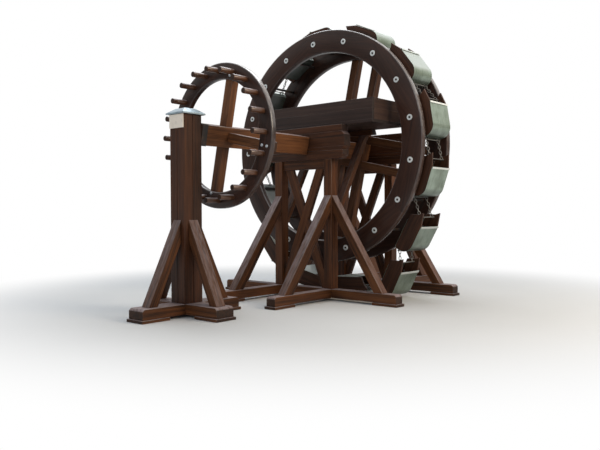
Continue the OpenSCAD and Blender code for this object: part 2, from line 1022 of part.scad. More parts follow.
// Arms in two pairs that cross beside the shaft, each halved where they cross
module upright_pair() {
    for (s = [-1, 1])
        difference() {
            box([s * arm_offset - arm_w / 2, arm_y, -arm_half], [s * arm_offset + arm_w / 2, arm_y + arm_d, arm_half]);
            for (t = [-1, 1])
                box([s * arm_offset - arm_w, arm_y + arm_d / 2, t * arm_offset - arm_w / 2],
                    [s * arm_offset + arm_w, arm_y + arm_d + 1, t * arm_offset + arm_w / 2]);
        }
}

module level_pair() {
    for (s = [-1, 1])
        difference() {
            box([-arm_half, arm_y, s * arm_offset - arm_w / 2], [arm_half, arm_y + arm_d, s * arm_offset + arm_w / 2]);
            for (t = [-1, 1])
                box([t * arm_offset - arm_w / 2, arm_y - 1, s * arm_offset - arm_w],
                    [t * arm_offset + arm_w / 2, arm_y + arm_d / 2, s * arm_offset + arm_w]);
        }
}

module upright_arms() {
    color("saddlebrown")
        turned()
            upright_pair();
}

module level_arms() {
    color("saddlebrown")
        turned()
            level_pair();
}

// Wedges that hold the arms on the square shaft
module arm_wedges() {
    s = shaft_side / 2;
    gap = arm_offset - arm_w / 2 - s;
    color("peru")
        turned()
            for (a = [0 : 90 : 270])
                rotate([0, a, 0])
                    box([-wedge_half, arm_y, s], [wedge_half, arm_y + arm_d, s + gap]);
}

post_long_sill();
post_cross_sill();
post_pads();
post();
post_struts();
post_cap();
post_plate();
trestle_cross_sills();
trestle_long_sills();
trestle_pads();
trestle_posts();
head_rails();
rising_braces();
falling_braces();
length_struts();
side_struts();
bolsters();
bearing_boards();
journal_blocks();
cap_timbers();
trough_floor();
trough_sides();
trough_ends();
trough_bearer();
knee_braces();
bucket_boards();
bucket_sheets();
bucket_chain();
shaft();
shaft_band();
peg_rim();
peg_spokes();
pegs();
peg_bolts();
front_ring();
back_ring();
cross_pins();
pin_washers();
pin_ends();
upright_arms();
level_arms();
arm_wedges();
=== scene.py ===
"""Looks and small detail of a timber water wheel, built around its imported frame.

The frame brings the exact pieces and their joint. Each class below dresses one sub-assembly with
planed, stained timber, bent zinc sheet, iron fittings and chain, in metres and in the frame's axes.
"""

from __future__ import annotations

import json
import logging
import math
import random
from dataclasses import dataclass
from enum import Enum

import bmesh
import bpy
from mathutils import Matrix, Vector

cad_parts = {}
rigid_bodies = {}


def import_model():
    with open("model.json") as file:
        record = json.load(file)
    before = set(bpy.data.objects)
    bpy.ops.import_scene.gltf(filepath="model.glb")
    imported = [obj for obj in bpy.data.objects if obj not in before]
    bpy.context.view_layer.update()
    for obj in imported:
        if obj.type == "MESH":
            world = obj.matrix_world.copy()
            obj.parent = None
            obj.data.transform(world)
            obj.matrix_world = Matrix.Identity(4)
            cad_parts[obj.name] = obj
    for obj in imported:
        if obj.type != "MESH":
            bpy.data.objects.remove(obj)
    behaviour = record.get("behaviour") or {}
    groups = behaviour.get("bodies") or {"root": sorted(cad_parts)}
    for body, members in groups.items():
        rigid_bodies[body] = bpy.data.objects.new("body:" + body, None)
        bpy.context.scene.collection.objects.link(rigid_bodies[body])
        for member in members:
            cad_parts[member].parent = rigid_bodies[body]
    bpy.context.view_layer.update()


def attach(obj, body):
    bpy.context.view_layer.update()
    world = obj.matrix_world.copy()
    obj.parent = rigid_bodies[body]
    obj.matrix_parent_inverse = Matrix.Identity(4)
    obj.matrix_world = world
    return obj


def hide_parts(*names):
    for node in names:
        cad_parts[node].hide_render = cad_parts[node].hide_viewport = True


LOG = logging.getLogger("water_wheel")
IMAGE_WIDTH = 600
SHARP_ANGLE = math.radians(21)
SOFT_ANGLE = math.radians(35)
FELLOE_STEP = math.radians(2.5)

# Cosines from which a face across the grain is a sawn end, a face that looks away from the shaft is a
# wheel's tread, and a timber counts as lying along Y
END_GRAIN = 0.8
TREAD = 0.95
NEAR_Y = 0.8

# Widths of rounded edges, from the heaviest timbers to the thinnest boards
ROUND_HEAVY = 0.007
ROUND_BEAM = 0.006
ROUND_SLIM = 0.005
ROUND_BOARD = 0.003
ROUND_FINE = 0.002

# Faces across a rounded edge, on the timbers and on the wheels' rims
EDGE_FACES = 2
RIM_EDGE_FACES = 3

# Sides of the round pieces and of the bored holes
SHAFT_SIDES = 96
HOLE_SIDES = 48
WASHER_SIDES = 32
PEG_SIDES = 24
PIN_SIDES = 16
ROD_SIDES = 12
NUT_SIDES = 6

# How far the cutter of a hole reaches past the timber
HOLE_OVERRUN = 0.05

# Where the heart of the log may lie beside a timber's middle line, across and through it
PITH_ACROSS = (0.03, 0.16)
PITH_THROUGH = (-0.14, 0.14)

# Most that a repeated piece differs from its neighbours in grain and stain
LOT_SPREAD = 0.6

Point = tuple[float, float]
Triple = tuple[float, float, float]
Colour = tuple[float, float, float]
Hole = tuple[Vector, Vector, float]


class Body(Enum):
    """The two rigid bodies of the frame."""

    FRAME = "frame"
    WHEELWORK = "wheelwork"


class Plane(Enum):
    """The plane in which an outline is drawn; the solid is extruded along the axis left over."""

    YZ = 0
    XZ = 1
    XY = 2


class Slot(Enum):
    """Material slots of the record."""

    STAINED = "stained_timber"
    BEARING = "bearing_timber"
    TROUGH = "trough_timber"
    WHEEL = "wheel_timber"
    PEG = "peg_timber"
    SHEET = "galvanised_sheet"
    IRON = "galvanised_iron"
    CAP = "cap_metal"
    PLATE = "plate"
    DARK = "dark_iron"


@dataclass(frozen=True)
class Layout:
    """Sizes that the sub-assemblies share, in metres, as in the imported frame."""

    shaft_z: float = 2.5
    near_y: float = 0.1125
    post_to_trestle: float = 2.505
    trestle_gap: float = 1.72
    turn: float = math.radians(12.3)
    sill_h: float = 0.14
    pad_h: float = 0.04
    pad_len: float = 0.44
    pad_over: float = 0.022
    chamfer: float = 0.03
    leg_x: float = 0.53
    leg_side: float = 0.16
    leg_top: float = 2.245
    stack_top: float = 2.775
    stack_d: float = 0.16
    post_depth: float = 0.31
    shaft_side: float = 0.29
    ring_t: float = 0.1
    ring_gap: float = 0.66

    @property
    def post_y(self) -> float:
        """Middle of the outer post."""
        return self.near_y - self.post_to_trestle

    @property
    def far_y(self) -> float:
        """Middle of the far trestle."""
        return self.near_y + self.trestle_gap

    @property
    def wheel_y(self) -> float:
        """Middle of the ring wheel."""
        return self.near_y + self.trestle_gap / 2

    @property
    def sill_top(self) -> float:
        """Height of the upper face of the sills."""
        return self.sill_h + self.pad_h

    @property
    def front_ring_y(self) -> float:
        """Front face of the front ring."""
        return self.wheel_y - self.ring_gap / 2 - self.ring_t

    @property
    def back_ring_y(self) -> float:
        """Front face of the back ring."""
        return self.wheel_y + self.ring_gap / 2


LAYOUT = Layout()


# Node graphs


class Expr:
    """A number socket with arithmetic, so that shader maths reads as an expression."""

    def __init__(self, graph: Graph, socket: bpy.types.NodeSocket) -> None:
        """Wraps one output socket of a graph."""
        self.graph = graph
        self.socket = socket

    def math(self, operation: str, *others: float | Expr, first: float | Expr | None = None) -> Expr:
        """Adds one Math node on this value and others, one of which may come first."""
        operands = [self, *others] if first is None else [first, self, *others]
        return self.graph.out("ShaderNodeMath", 0, {"operation": operation}, dict(enumerate(operands)))

    def __add__(self, other: float | Expr) -> Expr:
        """Sum."""
        return self.math("ADD", other)

    __radd__ = __add__

    def __sub__(self, other: float | Expr) -> Expr:
        """Difference."""
        return self.math("SUBTRACT", other)

    def __rsub__(self, other: float | Expr) -> Expr:
        """Difference with the number first."""
        return self.math("SUBTRACT", first=other)

    def __mul__(self, other: float | Expr) -> Expr:
        """Product."""
        return self.math("MULTIPLY", other)

    __rmul__ = __mul__

    def __truediv__(self, other: float | Expr) -> Expr:
        """Quotient."""
        return self.math("DIVIDE", other)

    def __rtruediv__(self, other: float | Expr) -> Expr:
        """Quotient with the number first."""
        return self.math("DIVIDE", first=other)

    def __pow__(self, other: float | Expr) -> Expr:
        """Power."""
        return self.math("POWER", other)

    def __rpow__(self, other: float | Expr) -> Expr:
        """Power with the number first."""
        return self.math("POWER", first=other)

    def sine(self) -> Expr:
        """Sine of the value in radians."""
        return self.math("SINE")

    def clamp(self) -> Expr:
        """The value held between 0 and 1."""
        return self.math("MINIMUM", 1.0).math("MAXIMUM", 0.0)

    def between(self, low: float, high: float) -> Expr:
        """A smooth step from 0 at low to 1 at high."""
        sockets = {"Value": self, "From Min": low, "From Max": high}
        return self.graph.out("ShaderNodeMapRange", 0, {"interpolation_type": "SMOOTHSTEP"}, sockets)


class Graph:
    """Builds the nodes of one tree, for a material, the world or Geometry Nodes."""

    def __init__(self, tree: bpy.types.NodeTree) -> None:
        """Starts on the tree that it fills."""
        self.tree = tree

    def node(
        self,
        kind: str,
        settings: dict[str, object] | None = None,
        sockets: dict[str | int, object] | None = None,
    ) -> bpy.types.Node:
        """Adds one node of any type.

        Args:
            kind: The node's type name.
            settings: Properties of the node, set before its sockets.
            sockets: Values or links, by the name or number of the input.

        Returns:
            The new node.
        """
        node = self.tree.nodes.new(kind)
        for name, value in (settings or {}).items():
            setattr(node, name, value)
        for key, value in (sockets or {}).items():
            if isinstance(value, Expr):
                value = value.socket
            if isinstance(value, bpy.types.NodeSocket):
                self.tree.links.new(value, node.inputs[key])
            else:
                node.inputs[key].default_value = value
        return node

    def out(
        self,
        kind: str,
        output: str | int = 0,
        settings: dict[str, object] | None = None,
        sockets: dict[str | int, object] | None = None,
    ) -> Expr:
        """Adds a node and wraps one of its outputs, by its name or number."""
        return Expr(self, self.node(kind, settings, sockets).outputs[output])

    def attribute(self, name: str, output: str = "Fac") -> Expr:
        """One of the mesh's own attributes, as Fac for a number or as Vector."""
        return self.out("ShaderNodeAttribute", output, {"attribute_name": name})

    def part(self, vector: Expr, axis: int) -> Expr:
        """One coordinate of a vector, by the number of its axis."""
        return self.out("ShaderNodeSeparateXYZ", axis, sockets={0: vector})

    def upward(self) -> Expr:
        """How far the surface looks up, from 1 on a level top to -1 on an underside."""
        return self.part(self.out("ShaderNodeNewGeometry", "Normal"), 2)

    def rays(self) -> tuple[Expr, Expr]:
        """Tells apart the rays that reach the white background.

        Returns:
            1 on camera rays, and 1 on mirrored or refracted ones.
        """
        path = self.node("ShaderNodeLightPath")
        shine = Expr(self, path.outputs["Is Glossy Ray"]) + Expr(self, path.outputs["Is Transmission Ray"])
        return Expr(self, path.outputs["Is Camera Ray"]), shine

    def noise(self, vector: Expr, scale: float, detail: float = 3.0, rough: float = 0.55) -> Expr:
        """Noise with a given number of cells in a metre of the vector."""
        sockets = {"Vector": vector, "Scale": scale, "Detail": detail, "Roughness": rough}
        return self.out("ShaderNodeTexNoise", "Fac", sockets=sockets)

    def stretch(self, vector: Expr, scale: Triple, shift: Expr | None = None) -> Expr:
        """A vector scaled by axis, and shifted.

        Args:
            vector: The vector.
            scale: The factor for each axis.
            shift: A number that is added to all three, before the scaling.

        Returns:
            The new vector.
        """
        if shift is not None:
            vector = self.out("ShaderNodeVectorMath", 0, {"operation": "ADD"}, {0: vector, 1: shift})
        return self.out("ShaderNodeVectorMath", 0, {"operation": "MULTIPLY"}, {0: vector, 1: scale})

    def mix(self, factor: float | Expr, a: Colour | Expr, b: Colour | Expr) -> Expr:
        """Mixes two colours, values or links, by the share of the second."""
        # The node's colour sockets are output 2 and inputs 6 and 7
        sides = [(*c, 1.0) if isinstance(c, tuple) else c for c in (a, b)]
        return self.out("ShaderNodeMix", 2, {"data_type": "RGBA"}, {0: factor, 6: sides[0], 7: sides[1]})

    def bump(self, height: Expr, strength: float, distance: float) -> Expr:
        """A normal bent by a height, of which 1 stands for the given distance in metres."""
        sockets = {"Height": height, "Strength": strength, "Distance": distance}
        return self.out("ShaderNodeBump", "Normal", sockets=sockets)


# Finishes

# Grey dust with painted sheen for upward timber faces
DUST_AND_SHEEN_COLOUR = (0.29, 0.235, 0.235)
RUST = (0.2, 0.09, 0.04)
# Painted shade for the insides of the buckets
PAINTED_SHADE_ZINC = (0.02, 0.026, 0.022)
# Painted highlight for the folded mouth edges of the buckets
PAINTED_HIGHLIGHT_ZINC = (0.8, 0.84, 0.82)
SHADED_ZINC = (0.06, 0.075, 0.065)
# Painted sky reflection for the upward faces of the buckets
SKY_REFLECTION_ZINC = (0.6, 0.66, 0.63)
PALE_SKY = (0.86, 0.92, 1.0)
WHITE = (1.0, 1.0, 1.0)


@dataclass(frozen=True)
class Finish:
    """Common part of all finishes: a name and the making of one material."""

    name: str

    def material(self) -> bpy.types.Material:
        """The material, made at its first use.

        Returns:
            The material.
        """
        found = bpy.data.materials.get(self.name)
        if found is None:
            found = bpy.data.materials.new(self.name)
            found.use_nodes = True
            found.node_tree.nodes.clear()
            graph = Graph(found.node_tree)
            shader = self.surface(graph)
            graph.node("ShaderNodeOutputMaterial", None, {"Surface": shader})
        return found

    def surface(self, graph: Graph) -> Expr:
        """The shader of the finish."""
        raise NotImplementedError


@dataclass(frozen=True)
class Timber(Finish):
    """Planed timber under a translucent stain, with its grain running along each piece.

    Attributes:
        dark: Colour of the late wood and of the darkest stain.
        light: Colour of the early wood where the stain is thin.
        edge_mark: Colour of rubbed edges and treads, with a painted highlight where they look up.
        end: Colour of sawn ends.
        gloss: Roughness of the stained face.
        coat: Weight of the varnish on the faces.
        polish: Weight of the shine on rubbed edges.
        dust_and_sheen: Share of grey dust and painted sheen on upward faces.
        ring: Width of a growth ring in metres.
        shine: Level of the plain reflection of the stain.
        coat_gloss: Roughness of the varnish and of rubbed edges.
    """

    dark: Colour = (0.03, 0.012, 0.007)
    light: Colour = (0.12, 0.045, 0.02)
    edge_mark: Colour = (0.12, 0.085, 0.065)
    end: Colour = (0.015, 0.0125, 0.012)
    gloss: float = 0.42
    coat: float = 0.0
    polish: float = 0.14
    dust_and_sheen: float = 0.45
    ring: float = 0.011
    shine: float = 0.2
    coat_gloss: float = 0.16

    @staticmethod
    def figure(
        graph: Graph,
        heart: Expr,
        shift: Expr,
        along: float,
        across: float,
        detail: float = 3.0,
        rough: float = 0.55,
    ) -> Expr:
        """Noise drawn out along the grain, by its cells in a metre along and across it."""
        return graph.noise(graph.stretch(heart, (along, across, across), shift), 1.0, detail, rough)

    def surface(self, graph: Graph) -> Expr:
        """The stained wood.

        Args:
            graph: The material's graph.

        Returns:
            The shader output.
        """
        heart = graph.attribute("heart", "Vector")
        lot = graph.attribute("tint") + graph.attribute("lot")
        edge, cut, lean = graph.attribute("edge"), graph.attribute("cut"), graph.upward()
        shift = lot * 7.0
        # Growth rings about the heart, a little wavy
        drift = self.figure(graph, heart, shift, along=0.9, across=5.0, detail=2.0)
        across, through = graph.part(heart, 1), graph.part(heart, 2)
        radius = (across * across + through * through).math("SQRT")
        wave = ((radius + drift * 0.05) * (2 * math.pi / self.ring)).sine()
        late = (wave * 0.5 + 0.5) ** 2.2
        # Stain that is thinner in streaks and patches, and darker in the late wood
        fibre = self.figure(graph, heart, shift, along=5.0, across=160.0, rough=0.6)
        streak = self.figure(graph, heart, shift, along=1.1, across=26.0, rough=0.6)
        blotch = self.figure(graph, heart, shift, along=0.8, across=3.0, detail=4.0, rough=0.6)
        depth = streak.between(0.3, 0.72) * 0.5 + blotch.between(0.3, 0.7) * 0.3 + fibre * 0.25
        depth = depth + lot * 0.22 - 0.12
        colour = graph.mix((depth - late * 0.22).clamp(), self.dark, self.light)
        # Fine drying cracks
        check = self.figure(graph, heart, shift + 3.0, along=0.8, across=55.0, detail=1.0)
        crack = check.between(0.71, 0.75)
        colour = graph.mix(crack * 0.7, colour, tuple(c * 0.25 for c in self.dark))
        # Rubbed edges and treads with a painted highlight that is strongest where they look up, then sawn
        # ends, and dust with painted sheen on top
        rub = self.figure(graph, heart, shift + 9.0, along=6.0, across=30.0)
        wear_and_sheen = (edge * (rub.between(0.36, 0.6) * 0.5 + 0.5) * (lean.between(-0.2, 0.7) * 0.85 + 0.15)).clamp()
        colour = graph.mix(wear_and_sheen * 0.5, colour, self.edge_mark)
        colour = graph.mix(cut * (0.75 - late * 0.25), colour, self.end)
        # Grey dust on upward faces, together with a painted sheen where the sky would shine on them
        level = lean.between(0.15, 0.85)
        settled = (level * rub.between(0.2, 0.75) + level * level * level * 0.4) * self.dust_and_sheen
        colour = graph.mix(settled.clamp(), colour, DUST_AND_SHEEN_COLOUR)
        rough = (self.gloss + fibre * 0.16 + cut * 0.2 + settled * 0.25 - edge * self.polish * 0.15).clamp()
        coat = (edge * lean.between(-0.35, 0.2) * self.polish + self.coat - cut - crack * 0.5).clamp()
        normal = graph.bump(fibre * 0.5 + late * 0.25 - crack * 1.6, 0.5, 0.0016)
        sockets = {"Base Color": colour, "Roughness": rough, "Coat Weight": coat, "Normal": normal}
        sockets |= {"Specular IOR Level": self.shine, "Coat Roughness": self.coat_gloss}
        return graph.out("ShaderNodeBsdfPrincipled", sockets=sockets)


@dataclass(frozen=True)
class Zinc(Finish):
    """Hot dipped zinc on sheet or iron, with faint spangle, dull patches and some rust.

    Attributes:
        pale: Colour of the bright zinc.
        dull: Colour of the weathered zinc.
        rust: Share of rust.
        metal: Metallic share.
        rough: Roughness.
        spangle: Cells in a metre.
        rim: Share of painted highlight on the faces marked as cut.
        sky_reflection: Share of painted sky reflection on upward faces.
    """

    pale: Colour = (0.34, 0.415, 0.335)
    dull: Colour = (0.15, 0.188, 0.142)
    rust: float = 0.2
    metal: float = 0.75
    rough: float = 0.34
    spangle: float = 55.0
    rim: float = 0.0
    sky_reflection: float = 0.0

    def surface(self, graph: Graph) -> Expr:
        """The zinc.

        Args:
            graph: The material's graph.

        Returns:
            The shader output.
        """
        where = graph.out("ShaderNodeTexCoord", "Object")
        sockets = {"Vector": where, "Scale": self.spangle}
        cells = graph.out("ShaderNodeTexVoronoi", "Color", {"feature": "F1"}, sockets)
        fleck = graph.out("ShaderNodeSeparateColor", 0, sockets={0: cells})
        cloud = graph.noise(where, 3.5, 4.0)
        runs = graph.noise(graph.stretch(where, (22.0, 22.0, 2.2)), 1.0, 3.0)
        share = cloud.between(0.35, 0.68) * 0.6 + fleck * 0.18 + runs.between(0.45, 0.7) * 0.3
        colour = graph.mix(share.clamp(), self.pale, self.dull)
        spots = graph.noise(where, 17.0, 5.0, 0.7).between(0.6, 0.75) * runs.between(0.4, 0.7) * self.rust
        colour = graph.mix(spots.clamp(), colour, RUST)
        # Painted shade on the face towards the wheel and the inside, a painted highlight on the fold, painted
        # shade on the undersides and a painted sky reflection on the tops
        inside = graph.attribute("edge")
        colour = graph.mix(inside * 0.9, colour, PAINTED_SHADE_ZINC)
        rim = graph.attribute("cut") * self.rim
        colour = graph.mix(rim, colour, PAINTED_HIGHLIGHT_ZINC)
        lean = graph.upward()
        under = lean.between(-0.7, 0.0) * -0.6 + 0.6
        colour = graph.mix(under, colour, SHADED_ZINC)
        colour = graph.mix(lean.between(0.1, 0.6) * self.sky_reflection, colour, SKY_REFLECTION_ZINC)
        rough = (self.rough + share * 0.2 + spots * 0.3 - fleck * 0.08).clamp()
        metallic = (self.metal - share * 0.2 - spots * 0.4 - inside * 0.7 - rim * 0.5).clamp()
        normal = graph.bump(cloud * 0.7 + fleck * 0.08, 0.35, 0.003)
        sockets = {"Base Color": colour, "Roughness": rough, "Metallic": metallic, "Normal": normal}
        return graph.out("ShaderNodeBsdfPrincipled", sockets=sockets)


@dataclass(frozen=True)
class Iron(Finish):
    """Painted or bare iron with scuffs.

    Attributes:
        base: Main colour.
        scuff: Colour of the scuffs.
        metal: Metallic share.
        rough: Roughness.
        coat: Clear coat weight.
    """

    base: Colour = (0.03, 0.028, 0.027)
    scuff: Colour = (0.11, 0.06, 0.035)
    metal: float = 0.5
    rough: float = 0.5
    coat: float = 0.0

    def surface(self, graph: Graph) -> Expr:
        """The iron.

        Args:
            graph: The material's graph.

        Returns:
            The shader output.
        """
        where = graph.out("ShaderNodeTexCoord", "Object")
        cloud = graph.noise(where, 9.0, 5.0, 0.65)
        fine = graph.noise(where, 120.0, 3.0)
        patch = (cloud.between(0.45, 0.7) * 0.7 + fine.between(0.5, 0.8) * 0.2).clamp()
        colour = graph.mix(patch, self.base, self.scuff)
        rough = (self.rough + patch * 0.25).clamp()
        normal = graph.bump(fine + cloud, 0.3, 0.0012)
        sockets = {
            "Base Color": colour,
            "Roughness": rough,
            "Metallic": self.metal,
            "Coat Weight": self.coat,
            "Normal": normal,
        }
        return graph.out("ShaderNodeBsdfPrincipled", sockets=sockets)


@dataclass(frozen=True)
class Ground(Finish):
    """Plain pale floor that turns into the white of the background further out.

    Attributes:
        colour: Colour of the floor.
        centre: The middle of the floor that keeps its shade, X and Y.
        near: Where the fade starts, in metres from the middle.
        far: Where the fade ends.
    """

    colour: Colour = (0.62, 0.62, 0.61)
    centre: Point = (0.0, 0.5)
    near: float = 3.4
    far: float = 7.0

    def surface(self, graph: Graph) -> Expr:
        """The floor.

        Args:
            graph: The material's graph.

        Returns:
            The shader output.
        """
        where = graph.out("ShaderNodeTexCoord", "Object")
        sockets = {0: where, 1: (*self.centre, 0.0)}
        offset = graph.out("ShaderNodeVectorMath", 0, {"operation": "SUBTRACT"}, sockets)
        reach = graph.out("ShaderNodeVectorMath", "Value", {"operation": "LENGTH"}, {0: offset})
        fade = reach.between(self.near, self.far)
        mottle = graph.noise(where, 0.9, 5.0, 0.6) * 0.12
        colour = graph.mix(mottle, self.colour, tuple(c * 0.6 for c in self.colour))
        plain = graph.out("ShaderNodeBsdfDiffuse", sockets={"Color": colour})
        white = graph.out("ShaderNodeEmission", sockets={"Color": (*WHITE, 1.0), "Strength": 1.0})
        seen, shine = graph.rays()
        share = fade * (seen + shine).clamp()
        return graph.out("ShaderNodeMixShader", sockets={0: share, 1: plain, 2: white})


# Upward faces of the sills and struts, and the tops of the pegs, take dust with a painted sheen
STAIN = Timber("stain_dark", dark=(0.019, 0.0082, 0.0045), light=(0.15, 0.054, 0.018), gloss=0.36, dust_and_sheen=0.75)
STAIN_BOARD = Timber("stain_board", dark=(0.016, 0.0075, 0.005), light=(0.098, 0.038, 0.018))
STAIN_LEG = Timber("stain_leg", dark=(0.022, 0.009, 0.0045), light=(0.16, 0.055, 0.018))
STAIN_POST = Timber("stain_post", dark=(0.012, 0.0052, 0.003), light=(0.082, 0.0275, 0.0105))
STAIN_BEARING = Timber("stain_bearing", dark=(0.022, 0.0088, 0.0048), light=(0.108, 0.04, 0.017))
STAIN_SHAFT = Timber(
    "stain_shaft", dark=(0.045, 0.017, 0.007), light=(0.2, 0.078, 0.029), polish=0.6, dust_and_sheen=0.5
)
# The wheels' rubbed edges and treads take a pale grey, mostly a painted highlight where they look up
STAIN_WHEEL = Timber(
    "stain_wheel", dark=(0.013, 0.0064, 0.0048), light=(0.054, 0.022, 0.0135), edge_mark=(0.42, 0.4, 0.39),
    gloss=0.3, coat=0.12, polish=1.0, dust_and_sheen=0.25,
)
STAIN_TROUGH = Timber(
    "stain_trough", dark=(0.022, 0.0125, 0.0105), light=(0.062, 0.034, 0.025), coat=0.25, dust_and_sheen=0.3
)
STAIN_PEG = Timber(
    "stain_peg", dark=(0.022, 0.0095, 0.005), light=(0.125, 0.05, 0.022), end=(0.006, 0.005, 0.0045),
    gloss=0.3, coat=0.7, dust_and_sheen=0.7,
)
# The bucket sheets take the painted highlight on their folds and the painted sky reflection on their tops
ZINC_SHEET = Zinc("zinc_sheet", rim=1.0, sky_reflection=0.8)
ZINC_IRON = Zinc(
    "zinc_iron", pale=(0.23, 0.22, 0.205), dull=(0.1, 0.092, 0.083), rust=0.7, metal=0.6, rough=0.45,
    spangle=160.0,
)
ZINC_WASHER = Zinc(
    "zinc_washer", pale=(0.78, 0.8, 0.78), dull=(0.56, 0.58, 0.56), metal=0.2, rough=0.4, rust=0.1
)
ZINC_BOLT = Zinc(
    "zinc_bolt", pale=(0.62, 0.66, 0.7), dull=(0.4, 0.43, 0.45), metal=0.6, rough=0.3, spangle=160.0
)
IRON_DARK = Iron("iron_dark")
IRON_CAP = Iron("iron_cap", base=(0.33, 0.42, 0.47), scuff=(0.2, 0.26, 0.3), metal=0.45, rough=0.3, coat=0.2)
PLATE_PALE = Iron("plate_pale", base=(0.86, 0.76, 0.64), scuff=(0.68, 0.59, 0.5), metal=0.0, rough=0.55)


# Meshes


def oblong(low: Point, high: Point) -> list[Point]:
    """Outline of a rectangle between two opposite corners."""
    return [low, (high[0], low[1]), high, (low[0], high[1])]


def round_bar(radius: float, y0: float, y1: float) -> list[Point]:
    """Profile of a plain round bar, as radius and Y."""
    return [(0, y0), (radius, y0), (radius, y1), (0, y1)]


def turned(corners: list[Point], angle: float) -> list[Point]:
    """Turns an outline clockwise about the origin, by an angle in radians."""
    c, s = math.cos(angle), math.sin(angle)
    return [(p * c + q * s, q * c - p * s) for p, q in corners]


def linked(name: str, data: bpy.types.ID) -> bpy.types.Object:
    """A new object in the scene.

    Args:
        name: Its name.
        data: Its mesh, lamp or camera.

    Returns:
        The object.
    """
    made = bpy.data.objects.new(name, data)
    bpy.context.scene.collection.objects.link(made)
    return made


def solid_object(name: str, bm: bmesh.types.BMesh) -> bpy.types.Object:
    """A new object that takes over a solid.

    Args:
        name: Its name.
        bm: The solid, which is used up.

    Returns:
        The object.
    """
    mesh = bpy.data.meshes.new(name)
    bm.to_mesh(mesh)
    bm.free()
    return linked(name, mesh)


@dataclass
class Grain:
    """How one timber lies in its log.

    Attributes:
        origin: A point on the timber's middle line.
        along: Direction of the fibres.
        pith: Place of the heart beside the middle line, across and through.
    """

    origin: Vector
    along: Vector
    pith: Point

    def read(self, co: Vector) -> Triple:
        """Coordinates of a point along, across and through the timber.

        Args:
            co: The point.

        Returns:
            The three coordinates in metres.
        """
        along = self.along.normalized()
        aside = Vector((1, 0, 0)) if abs(along.y) >= NEAR_Y else Vector((0, 1, 0))
        side = along.cross(aside).normalized()
        through = along.cross(side)
        rel = co - self.origin
        return rel.dot(along), rel.dot(side) + self.pith[0], rel.dot(through) + self.pith[1]


